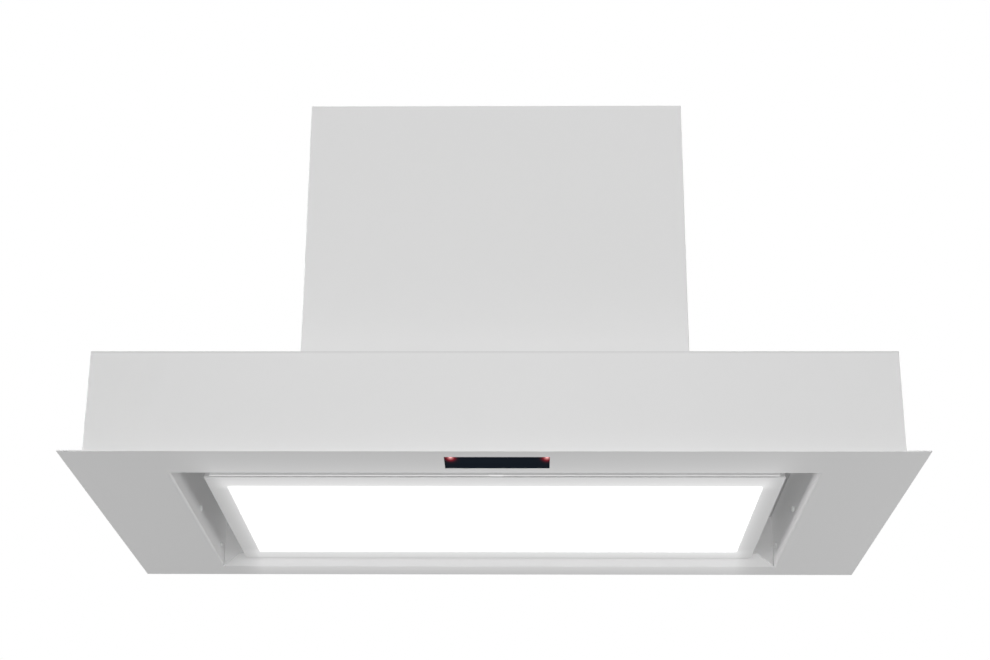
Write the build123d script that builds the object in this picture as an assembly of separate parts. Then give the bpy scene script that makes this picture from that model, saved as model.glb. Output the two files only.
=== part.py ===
"""Built-in range hood: a folded bottom plate with a perimeter-suction light panel, a low casing,
a motor box with a double-inlet blower, and a round outlet with two non-return flaps.

Millimetres. The origin is the centre of the bottom plate's underside, +X to the right as the cook
sees it, +Y to the back, +Z up.
"""

import os
from math import cos, radians, sin, sqrt, tan

from build123d import *

# Sheet metal
sheet = 1.2
fold_radius = 3.0
wrap_corner = 1.6
flange_width = 15.0

# Bottom plate and its opening
plate_width = 900.0
plate_depth = 510.0
side_rim = 104.0
front_rim = 76.0
rear_rim = 40.5
cavity_height = 65.0
deflector_length = 22.9
deflector_angle = 31.6
rear_wall_gap = 0.5

# Casing and motor box
casing_inset_side = 22.5
casing_inset = 15.0
casing_height = 116.0
motor_box_width = 428.0
motor_box_depth = 330.0
hood_height = 449.0
air_hole_margin = 20.0

# Light panel
panel_gap_side = 31.4
panel_gap_front = 30.8
panel_gap_rear = 24.8
panel_bottom = 5.0
panel_height = 23.0
strip_front = 33.0
strip_side = 20.3
strip_rear = 27.4
panel_corner = 6.0
panel_sheet = 1.0
trim_seam = 0.6
trim_setback = 3.0
trim_height = 12.0
tab_width = 17.0
tab_centre = 1.8
tab_bottom = 2.8
tab_thickness = 1.2
tab_stem = 3.0
tab_hole_radius = 1.2
tab_hole_height = 8.7
window_corner = 4.0
diffuser_margin = 9.7
diffuser_thickness = 3.0
guide_thickness = 6.0
reflector_thickness = 0.6
led_bar_width = 6.0
stiffener_width = 30.0
stiffener_margin = 65.0

# Light panel's hinge and catch
hinge_setback = 9.7
hinge_rise = 7.0
hinge_inset = 64.6
hinge_pin_radius = 2.0
hinge_ear_width = 8.0
hinge_ear_thickness = 2.0
hinge_clip_width = 10.0
hinge_notch_width = 20.0
hinge_notch_depth = 24.7
clip_gap = 0.4
clip_sheet = 1.6
clip_reach = 7.0
catch_inset = 114.6
catch_setback = 18.0
magnet_width = 30.0
magnet_depth = 14.0
magnet_height = 5.0
magnet_bevel = 0.3
seat_gap = 0.3
running_clearance = 0.05

# Control window
window_width = 110.2
window_depth = 40.4
glass_wall_gap = 0.5
window_centre = 4.0
glass_overlap = 4.0
glass_front_overlap = 2.0
glass_thickness = 3.0
control_height = 18.0
plastic_wall = 2.0
board_rise = 4.0
board_thickness = 1.6
plug_width = 8.0
plug_inset = 16.0
lens_radius = 2.6
lens_height = 0.9
lens_inset = 5.8
lens_edge = 3.2
lens_bevel = 0.5

# Grease filters
filter_margin_side = 46.0
filter_margin_front = 16.0
filter_margin_rear = 51.5
filter_thickness = 9.0
filter_gap = 8.0
filter_rim = 11.0
filter_wall = 0.8
filter_ledge = 8.0
mesh_rows = 5
mesh_columns = 5
mesh_bar = 6.0
mesh_rib = 1.0
mesh_skin = 1.0
rail_gap = 2.5
rail_drop = 3.0
guide_wall = 2.0
latch_width = 44.0
latch_depth = 30.0
latch_thickness = 1.5
latch_nose_width = 18.0
latch_grip_height = 7.0
latch_nose_reach = 1.0

# Blower
shaft_rise = 125.0
impeller_radius = 76.0
blade_inner_radius = 62.0
impeller_width = 120.0
blade_count = 34
blade_thickness = 0.9
blade_arc_radius = 12.0
blade_lean = 6.0
ring_overlap = 1.0
impeller_ring = 2.5
impeller_disc = 2.0
hub_radius = 12.0
hub_length = 20.0
shaft_radius = 4.0
shaft_margin = 4.0
nut_radius = 8.0
nut_thickness = 5.0
scroll_width = 140.0
scroll_first_radius = 92.0
scroll_step = 12.0
scroll_sheet = 1.0
scroll_lip = 7.0
neck_width = 150.0
adapter_height = 44.0
inlet_radius = 64.0
inlet_flare = 9.0
motor_radius = 44.0
motor_length = 78.0
motor_gap = 4.0
motor_bevel = 3.0
motor_boss_radius = 16.0
motor_groove = 3.0
motor_groove_pitch = 14.0
bracket_sheet = 2.0
bracket_ring = 8.0
bracket_arm_width = 14.0
grommet_circle = 83.0
grommet_radius = 7.0
grommet_height = 6.0
grommet_bore = 2.4
capacitor_radius = 16.0
capacitor_length = 48.0
capacitor_back = 84.0
capacitor_up = 66.0
capacitor_bevel = 2.0

# Outlet
collar_radius = 74.5
collar_wall = 1.2
collar_height = 42.0
collar_flange_radius = 90.0
collar_bevel = 0.7
collar_base = 2.0
spindle_rise = 8.0
spindle_radius = 2.0
flap_thickness = 1.2
flap_clearance = 0.7
flap_drop = 2.0
flap_root = 4.0
knuckle_radius = 3.4
knuckle_length = 30.0
knuckle_gap = 2.0
ledge_width = 2.4

# Electrics
driver_width = 50.0
driver_height = 30.0
driver_end_gap = 14.0
driver_gap = 10.0
driver_corner = 2.0
terminal_width = 80.0
terminal_depth = 60.0
terminal_height = 42.0
terminal_ways = 5
terminal_pitch = 10.0
terminal_bore = 2.5
gland_margin_side = 49.0
gland_margin_rear = 55.0
gland_radius = 10.0
gland_bore = 4.5
gland_nut_radius = 14.0
gland_height = 22.0
gland_nut_height = 6.0
gland_stem = 8.0
gland_cap_step = 1.0
gland_bevel = 3.0

# Fasteners and fixing holes
screw_head_radius = 3.6
screw_head_height = 2.4
screw_bevel = 1.0
screw_radius = 1.8
screw_length = 8.0
screw_clearance = 0.1
spacer_radius = 6.0
spacer_height = 19.0
spacer_margin_front = 39.0
spacer_margin_rear = 34.5
fixing_radius = 2.75
fixing_pitch = 320.0
fixing_drop = 26.0
foot_screw_margin = 64.0
back_screw_margin = 44.0
casing_screw_margin = 28.0

# Places worked out from the sizes above
half_opening = plate_width / 2 - side_rim
opening_front = -plate_depth / 2 + front_rim
opening_rear = plate_depth / 2 - rear_rim
rear_wall = opening_rear + rear_wall_gap
casing_side = plate_width / 2 - casing_inset_side
casing_front = -plate_depth / 2 + casing_inset
casing_back = plate_depth / 2 - casing_inset
box_side = motor_box_width / 2
box_front = -motor_box_depth / 2
box_back = motor_box_depth / 2
panel_side = half_opening - panel_gap_side
panel_front = opening_front + panel_gap_front
panel_rear = opening_rear - panel_gap_rear
panel_top = panel_bottom + panel_height
face_top = panel_bottom + panel_sheet
light_side = panel_side - strip_side
light_front = panel_front + strip_front
light_rear = panel_rear - strip_rear
guide_side = light_side + diffuser_margin
guide_front = light_front - diffuser_margin
guide_rear = light_rear + diffuser_margin
guide_bottom = face_top + diffuser_thickness
hinge_centre = panel_side - hinge_inset
catch_centre = panel_side - catch_inset
hinge_y = panel_rear - hinge_setback
hinge_z = panel_bottom + hinge_rise
glass_front = casing_front + sheet + glass_wall_gap
window_front = glass_front + glass_front_overlap
window_rear = window_front + window_depth
filter_front = opening_front + filter_margin_front
filter_back = opening_rear - filter_margin_rear
filter_depth = filter_back - filter_front
filter_width = half_opening - filter_margin_side - filter_gap / 2
filter_top = cavity_height - seat_gap
filter_bottom = filter_top - filter_thickness
filter_middle = (filter_width + filter_gap) / 2
latch_top = filter_bottom - seat_gap
latch_bottom = latch_top - latch_thickness
neck_top = hood_height - adapter_height
scroll_side_x = scroll_width / 2
scroll_reach = scroll_first_radius + 2 * scroll_step + scroll_step / 2
shaft_y = scroll_reach - neck_width / 2
shaft_z = casing_height + shaft_rise
bracket_x = scroll_side_x + sheet + grommet_height
motor_start = hub_length / 2 + motor_gap
shaft_start = -hub_length / 2 - nut_thickness - shaft_margin
shaft_end = motor_start + motor_length + shaft_margin
collar_inside = collar_radius - collar_wall
spindle_z = hood_height + spindle_rise
ledge_top = spindle_z - flap_drop - seat_gap
gland_x = box_side - gland_margin_side
gland_y = box_back - gland_margin_rear


def block(x0, x1, y0, y1, z0, z1):
    """A rectangular solid between two corners."""
    middle = Pos((x0 + x1) / 2, (y0 + y1) / 2, (z0 + z1) / 2)
    return middle * Box(abs(x1 - x0), abs(y1 - y0), abs(z1 - z0))


def rod(radius, length, at, along="Z"):
    """A round bar that starts at a point and runs along an axis."""
    turn = {"X": Rot(0, 90, 0), "Y": Rot(-90, 0, 0), "Z": Rot(0, 0, 0)}[along]
    return Pos(*at) * turn * Cylinder(radius, length, align=(Align.CENTER, Align.CENTER, Align.MIN))


def mirrored(solid):
    """A solid and its mirror image across the hood's middle plane."""
    return [solid, mirror(solid, about=Plane.YZ)]


def save(name, *solids):
    """Writes one node: one solid, or a group of separate solids."""
    shape = solids[0] if len(solids) == 1 else Compound(children=list(solids))
    shape.label = name
    export_step(shape, f"parts/{name}.step")


def screw(at, head):
    """A pan-head screw: `at` is the seat of the head, `head` the direction in which the head stands."""
    axis, sign = head[1], 1 if head[0] == "+" else -1
    side = -90 if sign > 0 else 90
    flip = 0 if sign > 0 else 180
    turn = {"X": Rot(0, 90 * sign, 0), "Y": Rot(side, 0, 0), "Z": Rot(flip, 0, 0)}[axis]
    cap = Cylinder(screw_head_radius, screw_head_height, align=(Align.CENTER, Align.CENTER, Align.MIN))
    cap = chamfer(cap.edges().group_by(Axis.Z)[-1], screw_bevel)
    shank = Cylinder(screw_radius, screw_length, align=(Align.CENTER, Align.CENTER, Align.MAX))
    return Pos(*at) * turn * (cap + shank)


def screw_holes(places, head):
    """Clearance holes for the screws of one row of places."""
    axis = head[1]
    reach = 4 * screw_length
    start = {"X": (-reach / 2, 0, 0), "Y": (0, -reach / 2, 0), "Z": (0, 0, -reach / 2)}[axis]
    radius = screw_radius + screw_clearance
    return [rod(radius, reach, tuple(p + s for p, s in zip(place, start)), axis) for place in places]


# Rows of screws, each used by the screws and by the sheets that they pass through
def spread(start, end, count):
    """Evenly spaced places from a start to an end."""
    return [start + (end - start) * step / (count - 1) for step in range(count)]


flange_middle = flange_width / 2
foot_top = casing_height + sheet
spacer_rows = spread(opening_front + spacer_margin_front, opening_rear - spacer_margin_rear, 3)
spacer_places = [(half_opening, y, spacer_height) for y in spacer_rows]
foot_columns = spread(-box_side + foot_screw_margin, box_side - foot_screw_margin, 2)
foot_rows = [box_front - flange_middle, box_back + flange_middle]
foot_sides = [-box_side - flange_middle, box_side + flange_middle]
box_screw_places = [(x, y, foot_top) for x in foot_columns for y in foot_rows]
box_screw_places += [(x, 0, foot_top) for x in foot_sides]
casing_back_rows = spread(casing_screw_margin, casing_height - casing_screw_margin, 2)
casing_back_columns = [-casing_side + flange_middle, casing_side - flange_middle]
casing_back_places = [(x, casing_back, z) for x in casing_back_columns for z in casing_back_rows]
box_back_rows = spread(casing_height + back_screw_margin, hood_height - back_screw_margin, 2)
box_back_columns = [-box_side + flange_middle, box_side - flange_middle]
box_back_places = [(x, box_back, z) for x in box_back_columns for z in box_back_rows]


def deflector():
    """The opening's rear edge, folded back up and forwards, with its ends mitred at 45 degrees."""
    slope = radians(deflector_angle)
    run, rise = deflector_length * cos(slope), deflector_length * sin(slope)
    tip = (opening_rear - run, rise)
    back = (tip[0] + sheet * sin(slope), tip[1] + sheet * cos(slope))
    seam = back[0] + (back[1] - sheet) / tan(slope)
    rim = opening_rear + 2 * sheet
    outline = [(opening_rear, 0), tip, back, (seam, sheet), (rim, sheet), (rim, 0)]
    profile = make_face(Polyline([(0, y, z) for y, z in outline], close=True))
    strip = extrude(profile, half_opening, dir=(1, 0, 0), both=True)
    mitred = half_opening - deflector_length
    plan = Polyline(
        (-half_opening, rim),
        (-half_opening, opening_rear),
        (-mitred, tip[0]),
        (mitred, tip[0]),
        (half_opening, opening_rear),
        (half_opening, rim),
        close=True,
    )
    return strip & extrude(make_face(plan), rise + 2 * sheet)


def folded_walls():
    """The cavity's front and side walls, turned up from the rim with a round fold and mitred corners."""
    centre = (half_opening + fold_radius, fold_radius)
    inner = fold_radius - sheet
    rim = half_opening + 2 * fold_radius
    diagonal = sqrt(0.5)

    def at(x, z):
        return (x, rear_wall, z)

    def bend(radius):
        return at(centre[0] - radius * diagonal, centre[1] - radius * diagonal)

    section = make_face(
        [
            Line(at(half_opening, cavity_height), at(half_opening, fold_radius)),
            ThreePointArc(at(half_opening, fold_radius), bend(fold_radius), at(centre[0], 0)),
            Line(at(centre[0], 0), at(rim, 0)),
            Line(at(rim, 0), at(rim, sheet)),
            Line(at(rim, sheet), at(centre[0], sheet)),
            ThreePointArc(at(centre[0], sheet), bend(inner), at(half_opening + sheet, fold_radius)),
            Line(at(half_opening + sheet, fold_radius), at(half_opening + sheet, cavity_height)),
            Line(at(half_opening + sheet, cavity_height), at(half_opening, cavity_height)),
        ]
    )
    path = Polyline(
        (half_opening, rear_wall, 0),
        (half_opening, opening_front, 0),
        (-half_opening, opening_front, 0),
        (-half_opening, rear_wall, 0),
    )
    return sweep(section, path=path, transition=Transition.RIGHT)


def bottom_plate():
    """The rim with its three upturned cavity walls and the folded deflector, one sheet."""
    reach = 2 * fold_radius
    rim = block(-plate_width / 2, plate_width / 2, -plate_depth / 2, plate_depth / 2, 0, sheet)
    rim = rim - block(
        -half_opening - reach, half_opening + reach, opening_front - reach, opening_rear, -1, 2 * sheet
    )
    window_left = window_centre - window_width / 2
    window_right = window_centre + window_width / 2
    window = block(window_left, window_right, window_front, window_rear, -1, 2 * sheet)
    plate = rim + folded_walls() - window
    for hole in screw_holes(spacer_places, "+X"):
        for side in mirrored(hole):
            plate = plate - side
    return plate + deflector()


def cavity_ceiling():
    """The sheet over the cavity: its rear edge folds down as the rear wall, and it has two filter openings."""
    reach = half_opening + sheet
    front, rear = opening_front - sheet, rear_wall + sheet
    top = block(-reach, reach, front, rear, cavity_height, cavity_height + sheet)
    back = block(-half_opening, half_opening, rear_wall, rear, sheet, cavity_height)
    ceiling = top + back
    inner = filter_middle - filter_width / 2 + filter_ledge
    outer = filter_middle + filter_width / 2 - filter_ledge
    front, rear = filter_front + filter_ledge, filter_back - filter_ledge
    hole = block(inner, outer, front, rear, cavity_height - 1, cavity_height + 2 * sheet)
    for side in mirrored(hole):
        ceiling = ceiling - side
    return ceiling


def round_corners(walls, front):
    """Rounds the two outer folds at the front of a wrap's walls."""
    folds = [edge for edge in walls.edges().filter_by(Axis.Z) if abs(edge.center().Y - front) < sheet / 2]
    return fillet(folds, wrap_corner)


def casing_wrap():
    """Front and sides of the low casing in one folded sheet, with inward flanges at the bottom and back."""
    top = casing_height
    walls = block(-casing_side, casing_side, casing_front, casing_back - sheet, sheet, top) - block(
        -casing_side + sheet, casing_side - sheet, casing_front + sheet, casing_back, 0, top + 1
    )
    walls = round_corners(walls, casing_front)
    half, back = casing_side - sheet, casing_back - sheet
    foot = block(-half, half, casing_front + sheet, back, sheet, 2 * sheet)
    inner = casing_side - flange_width
    foot = foot - block(-inner, inner, casing_front + flange_width, casing_back, 0, top)
    control = block(
        window_centre - window_width / 2 - 2 * glass_overlap,
        window_centre + window_width / 2 + 2 * glass_overlap,
        casing_front + sheet,
        window_rear,
        0,
        top,
    )
    wrap = walls + (foot - control)
    for flange in mirrored(block(inner, half, back - sheet, back, 2 * sheet, top - 2 * sheet)):
        wrap = wrap + flange
    for hole in screw_holes(casing_back_places, "+Y"):
        wrap = wrap - hole
    fixing_z = casing_height - fixing_drop
    for y in (-fixing_pitch / 2, fixing_pitch / 2):
        wrap = wrap - rod(fixing_radius, 2 * casing_side + 2, (-casing_side - 1, y, fixing_z), "X")
    return wrap


def casing_back_panel():
    """The casing's screwed back panel."""
    panel = block(-casing_side, casing_side, casing_back - sheet, casing_back, sheet, casing_height)
    for hole in screw_holes(casing_back_places, "+Y"):
        panel = panel - hole
    return panel


def casing_top():
    """The casing's top sheet with downturned side flanges and the air hole under the motor box."""
    side = casing_side - sheet
    top = block(
        -side, side, casing_front + sheet, casing_back - sheet, casing_height - sheet, casing_height
    ) - block(
        -box_side + air_hole_margin,
        box_side - air_hole_margin,
        box_front + air_hole_margin,
        box_back - air_hole_margin,
        casing_height - 2 * sheet,
        casing_height + 1,
    )
    for flange in mirrored(
        block(
            side - sheet,
            side,
            casing_front + sheet,
            casing_back - 2 * sheet,
            casing_height - flange_width,
            casing_height - sheet,
        )
    ):
        top = top + flange
    for hole in screw_holes(box_screw_places, "+Z"):
        top = top - hole
    return top


def motor_box_wrap():
    """Front and sides of the motor box in one folded sheet, with outward feet and inward back flanges."""
    bottom = casing_height
    walls = block(-box_side, box_side, box_front, box_back - sheet, bottom, hood_height) - block(
        -box_side + sheet, box_side - sheet, box_front + sheet, box_back, bottom - 1, hood_height + 1
    )
    walls = round_corners(walls, box_front)
    foot = block(
        -box_side - flange_width,
        box_side + flange_width,
        box_front - flange_width,
        box_back - sheet,
        bottom,
        bottom + sheet,
    ) - block(-box_side, box_side, box_front, box_back, bottom - 1, bottom + 2 * sheet)
    wrap = walls + foot
    inner, outer = box_side - flange_width, box_side - sheet
    back, top = box_back - sheet, hood_height - flange_width
    for flange in mirrored(block(inner, outer, back - sheet, back, bottom + sheet, top)):
        wrap = wrap + flange
    for hole in screw_holes(box_back_places, "+Y") + screw_holes(box_screw_places, "+Z"):
        wrap = wrap - hole
    return wrap


def motor_box_back():
    """The motor box's screwed back panel, with its foot turned out."""
    bottom = casing_height
    panel = block(-box_side, box_side, box_back - sheet, box_back, bottom, hood_height)
    half = box_side + flange_width
    panel = panel + block(-half, half, box_back, box_back + flange_width, bottom, bottom + sheet)
    for hole in screw_holes(box_back_places, "+Y") + screw_holes(box_screw_places, "+Z"):
        panel = panel - hole
    return panel


def motor_box_top():
    """The lid of the motor box, with downturned edges, the outlet hole and the cable gland's hole."""
    side = box_side - sheet
    front, back = box_front + sheet, box_back - sheet
    bottom = hood_height - flange_width
    lid = block(-side, side, front, back, bottom, hood_height)
    inner = side - sheet
    hollow = block(-inner, inner, front + sheet, back - sheet, bottom - 1, hood_height - sheet)
    outlet = rod(collar_inside, 4 * sheet, (0, 0, hood_height - 2 * sheet))
    gland = rod(gland_radius, 4 * sheet, (gland_x, gland_y, hood_height - 2 * sheet))
    return lid - hollow - outlet - gland


def outlet_collar():
    """The round duct collar with its base flange and the ledge that the flaps close on."""
    base = rod(collar_flange_radius, collar_base, (0, 0, hood_height))
    tube = rod(collar_radius, collar_height, (0, 0, hood_height))
    tube = chamfer(tube.edges().group_by(Axis.Z)[-1], collar_bevel)
    bore = rod(collar_inside, collar_height + 2, (0, 0, hood_height - 1))
    ledge = rod(collar_inside, collar_base, (0, 0, ledge_top - collar_base))
    ledge_start = (0, 0, ledge_top - collar_base - 1)
    ledge = ledge - rod(collar_inside - ledge_width, 2 * collar_base, ledge_start)
    seats = rod(spindle_radius, 2 * collar_radius, (0, -collar_radius, spindle_z), "Y")
    return base + tube - bore + ledge - seats


def flap_spindle():
    """The rod across the collar that both flaps hang on."""
    return rod(spindle_radius, 2 * collar_radius, (0, -collar_radius, spindle_z), "Y")


def outlet_flap(first_knuckle):
    """The left flap: half a disc with two knuckles round the spindle, the first one at a given Y."""
    radius = collar_inside - flap_clearance
    bottom = spindle_z - flap_drop
    disc = rod(radius, flap_thickness, (0, 0, bottom))
    flap = disc & block(-radius, -flap_root, -radius, radius, bottom - 1, bottom + 1 + flap_thickness)
    pitch = 2 * (knuckle_length + knuckle_gap)
    for start in (first_knuckle, first_knuckle + pitch):
        sleeve = rod(knuckle_radius, knuckle_length, (0, start, spindle_z), "Y")
        web = block(-flap_root - 1, 0, start, start + knuckle_length, bottom, bottom + flap_thickness)
        flap = flap + sleeve + web
    bore = rod(spindle_radius + running_clearance, 2 * collar_radius, (0, -collar_radius, spindle_z), "Y")
    return flap - bore


def scroll_face(grown):
    """The volute's outline in the YZ plane: three arcs of growing radius, and a straight neck.

    The arcs' centres are corners of a square round the shaft. `grown` moves the outline outwards.
    """
    half = scroll_step / 2
    first = scroll_first_radius + grown
    second = first + scroll_step
    third = second + scroll_step
    left = -half - third
    tongue = neck_width - half - (scroll_first_radius + 2 * scroll_step) + grown
    tongue_z = -half + sqrt(first**2 - (tongue - half) ** 2)
    first_turn = radians(40)
    diagonal = sqrt(0.5)

    def place(y, z):
        return (0, shaft_y + y, shaft_z + z)

    neck_right = (0, shaft_y + tongue, neck_top)
    neck_left = (0, shaft_y + left, neck_top)
    cutoff = place(tongue, tongue_z)
    first_middle = place(half + first * cos(first_turn), -half + first * sin(first_turn))
    second_start = place(half + first, -half)
    second_middle = place(-half + second * diagonal, -half - second * diagonal)
    third_start = place(-half, -half - second)
    third_middle = place(-half - third * diagonal, half - third * diagonal)
    third_end = place(left, half)
    return make_face(
        [
            Line(neck_right, cutoff),
            ThreePointArc(cutoff, first_middle, second_start),
            ThreePointArc(second_start, second_middle, third_start),
            ThreePointArc(third_start, third_middle, third_end),
            Line(third_end, neck_left),
            Line(neck_left, neck_right),
        ]
    )


def scroll_wrap():
    """The volute's curved wall and the two straight walls of its neck."""
    outer = extrude(scroll_face(scroll_sheet), scroll_side_x, dir=(1, 0, 0), both=True)
    inner = extrude(scroll_face(0), scroll_side_x + 1, dir=(1, 0, 0), both=True)
    return outer - inner


def scroll_side():
    """The right side sheet of the volute, with an inlet ring that curves in towards the impeller."""
    mouth = inlet_radius + inlet_flare
    plate = extrude(scroll_face(scroll_lip), sheet, dir=(1, 0, 0))
    plate = plate - rod(mouth, 4 * sheet, (-sheet, shaft_y, shaft_z), "X")
    diagonal = sqrt(0.5)

    def bend(radius, turn_x, turn_r):
        return (radius * turn_x - inlet_flare, 0, mouth - radius * turn_r)

    thick = inlet_flare + sheet
    section = make_face(
        [
            ThreePointArc(
                bend(inlet_flare, 1, 0), bend(inlet_flare, diagonal, diagonal), bend(inlet_flare, 0, 1)
            ),
            Line(bend(inlet_flare, 0, 1), bend(thick, 0, 1)),
            ThreePointArc(bend(thick, 0, 1), bend(thick, diagonal, diagonal), bend(thick, 1, 0)),
            Line(bend(thick, 1, 0), bend(inlet_flare, 1, 0)),
        ]
    )
    ring = Pos(0, shaft_y, shaft_z) * revolve(section, Axis.X)
    return Pos(scroll_side_x, 0, 0) * (plate + ring)


def blade_face():
    """One blade's section in the YZ plane: an arc band that leans towards the direction of rotation."""
    lean = radians(blade_lean)
    start = Vector(0, 0, blade_inner_radius)
    end = Vector(0, impeller_radius * sin(lean), impeller_radius * cos(lean))
    chord = end - start
    across = Vector(0, chord.Z, -chord.Y).normalized()
    sag = blade_arc_radius - sqrt(blade_arc_radius**2 - (chord.length / 2) ** 2)
    middle = (start + end) * 0.5 + across * sag * -1
    shift = across * blade_thickness
    return make_face(
        [
            ThreePointArc(start, middle, end),
            Line(end, end + shift),
            ThreePointArc(end + shift, middle + shift, start + shift),
            Line(start + shift, start),
        ]
    )


def impeller():
    """A double-inlet impeller: forward-curved blades between two end rings, on a middle disc and hub."""
    half = impeller_width / 2
    blade = Pos(-half, 0, 0) * extrude(blade_face(), impeller_width, dir=(1, 0, 0))
    blades = [Rot(360 * step / blade_count, 0, 0) * blade for step in range(blade_count)]
    rim = impeller_radius + ring_overlap
    ring = rod(rim, impeller_ring, (0, 0, 0), "X") - rod(
        blade_inner_radius - ring_overlap, impeller_ring + 2, (-1, 0, 0), "X"
    )
    rings = [Pos(-half, 0, 0) * ring, Pos(half - impeller_ring, 0, 0) * ring]
    disc = rod(rim, impeller_disc, (-impeller_disc / 2, 0, 0), "X")
    hub = rod(hub_radius, hub_length, (-hub_length / 2, 0, 0), "X")
    bore = rod(shaft_radius, hub_length + 2, (-hub_length / 2 - 1, 0, 0), "X")
    wheel = disc.fuse(hub, *rings, *blades) - bore
    return Pos(0, shaft_y, shaft_z) * wheel


def motor_shaft():
    """The steel shaft, from the hub nut through the motor."""
    return rod(shaft_radius, shaft_end - shaft_start, (shaft_start, shaft_y, shaft_z), "X")


def impeller_nut():
    """The hexagonal nut that holds the hub on the shaft."""
    nut = extrude(Plane.YZ * RegularPolygon(nut_radius, 6), nut_thickness)
    nut = nut - rod(shaft_radius, nut_thickness + 2, (-1, 0, 0), "X")
    return Pos(-hub_length / 2 - nut_thickness, shaft_y, shaft_z) * nut


def motor():
    """The motor: a drum with a shouldered front boss, cooling grooves and the shaft's bore."""
    drum = rod(motor_radius, motor_length, (0, 0, 0), "X")
    drum = chamfer(drum.edges().filter_by(GeomType.CIRCLE), motor_bevel)
    boss = rod(motor_boss_radius, motor_gap / 2, (-motor_gap / 2, 0, 0), "X")
    groove = rod(motor_radius + 1, motor_groove, (0, 0, 0), "X") - rod(
        motor_radius - motor_groove, motor_groove + 2, (-1, 0, 0), "X"
    )
    body = drum + boss
    for step in (1, 2, 3):
        body = body - Pos(step * motor_groove_pitch, 0, 0) * groove
    body = body - rod(shaft_radius + running_clearance, motor_length + 20, (-10, 0, 0), "X")
    return Pos(motor_start, shaft_y, shaft_z) * body


def bracket_angles():
    """Angles of the motor bracket's three arms, about the shaft."""
    return [-90 + 120 * step for step in range(3)]


def motor_bracket():
    """A ring round the motor with three arms that stand on the grommets."""
    ring = rod(motor_radius + bracket_ring, bracket_sheet, (0, 0, 0), "X")
    arm_end = grommet_circle + grommet_radius
    for angle in bracket_angles():
        arm = block(0, bracket_sheet, 0, arm_end, -bracket_arm_width / 2, bracket_arm_width / 2)
        ring = ring + Rot(angle, 0, 0) * arm
    ring = ring - rod(motor_radius, bracket_sheet + 2, (-1, 0, 0), "X")
    return Pos(bracket_x, shaft_y, shaft_z) * ring


def motor_grommets():
    """Three rubber grommets between the volute's side and the motor bracket."""
    rubber = rod(grommet_radius, grommet_height, (0, grommet_circle, 0), "X")
    rubber = rubber - rod(grommet_bore, grommet_height + 2, (-1, grommet_circle, 0), "X")
    start = Pos(bracket_x - grommet_height, shaft_y, shaft_z)
    return [start * Rot(angle, 0, 0) * rubber for angle in bracket_angles()]


def capacitor():
    """The motor's run capacitor, a can on the volute's left side."""
    start = -scroll_side_x - sheet - capacitor_length
    place = (start, shaft_y - capacitor_back, shaft_z + capacitor_up)
    can = rod(capacitor_radius, capacitor_length, place, "X")
    return chamfer(can.edges().group_by(Axis.X)[0], capacitor_bevel)


def outlet_adapter():
    """The piece from the volute's rectangular neck to the round outlet, with a flange at each end."""
    lid = hood_height - sheet
    lip = neck_width / 2 + scroll_lip
    corner = scroll_lip

    def funnel(wall):
        mouth = Rectangle(scroll_width + 2 * wall, neck_width + 2 * wall)
        mouth = fillet(mouth.vertices(), corner + wall)
        return loft([Pos(0, 0, neck_top) * mouth, Pos(0, 0, lid) * Circle(collar_inside + wall)])

    bottom = block(-scroll_side_x - sheet, scroll_side_x + sheet, -lip, lip, neck_top, neck_top + sheet)
    top = rod(collar_radius + scroll_lip, sheet, (0, 0, lid - sheet))
    return (funnel(sheet) + bottom + top) - funnel(0)


def control_glass():
    """The dark window of the controls, behind its opening in the bottom plate."""
    return block(
        window_centre - window_width / 2 - glass_overlap,
        window_centre + window_width / 2 + glass_overlap,
        glass_front,
        window_rear + glass_overlap,
        sheet,
        sheet + glass_thickness,
    )


def indicator_lenses():
    """The two red domes at the window's front corners."""
    reach = window_width / 2 - lens_inset
    drop = sheet - lens_height
    dome = rod(lens_radius, lens_height, (0, window_front + lens_edge, drop))
    dome = chamfer(dome.edges().group_by(Axis.Z)[0], lens_bevel)
    return [Pos(window_centre + side * reach, 0, 0) * dome for side in (-1, 1)]


def control_housing():
    """The black cover over the control board, on the glass."""
    left = window_centre - window_width / 2 - glass_overlap
    right = window_centre + window_width / 2 + glass_overlap
    back = window_rear + glass_overlap
    bottom = sheet + glass_thickness
    cover = block(left, right, glass_front, back, bottom, bottom + control_height)
    cover = cover - block(
        left + plastic_wall,
        right - plastic_wall,
        glass_front + plastic_wall,
        back - plastic_wall,
        bottom - 1,
        bottom + control_height - plastic_wall,
    )
    plug_right = right - plug_inset
    plug = block(plug_right - plug_width, plug_right, back, back + plug_width, bottom, bottom + plug_width)
    return cover + plug


def control_board():
    """The circuit board of the controls, between the cover's walls."""
    left = window_centre - window_width / 2 - glass_overlap + plastic_wall
    right = window_centre + window_width / 2 + glass_overlap - plastic_wall
    front = glass_front + plastic_wall
    back = window_rear + glass_overlap - plastic_wall
    bottom = sheet + glass_thickness
    board = block(left, right, front, back, bottom + board_rise, bottom + board_rise + board_thickness)
    for side in (-1, 1):
        middle = window_centre + side * (window_width / 2 - lens_inset)
        sensor = block(
            middle - lens_radius,
            middle + lens_radius,
            front + plastic_wall,
            front + plastic_wall + 2 * lens_radius,
            bottom + seat_gap,
            bottom + board_rise,
        )
        board = board + sensor
    return board


def led_driver():
    """The power supply of the light panel, on the bottom plate beside the cavity."""
    left = half_opening + driver_gap
    front = spacer_rows[1] + spacer_radius + driver_end_gap
    back = spacer_rows[2] - spacer_radius - driver_end_gap
    case = block(left, left + driver_width, front, back, sheet, sheet + driver_height)
    return chamfer(case.edges().group_by(Axis.Z)[-1], driver_corner)


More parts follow.
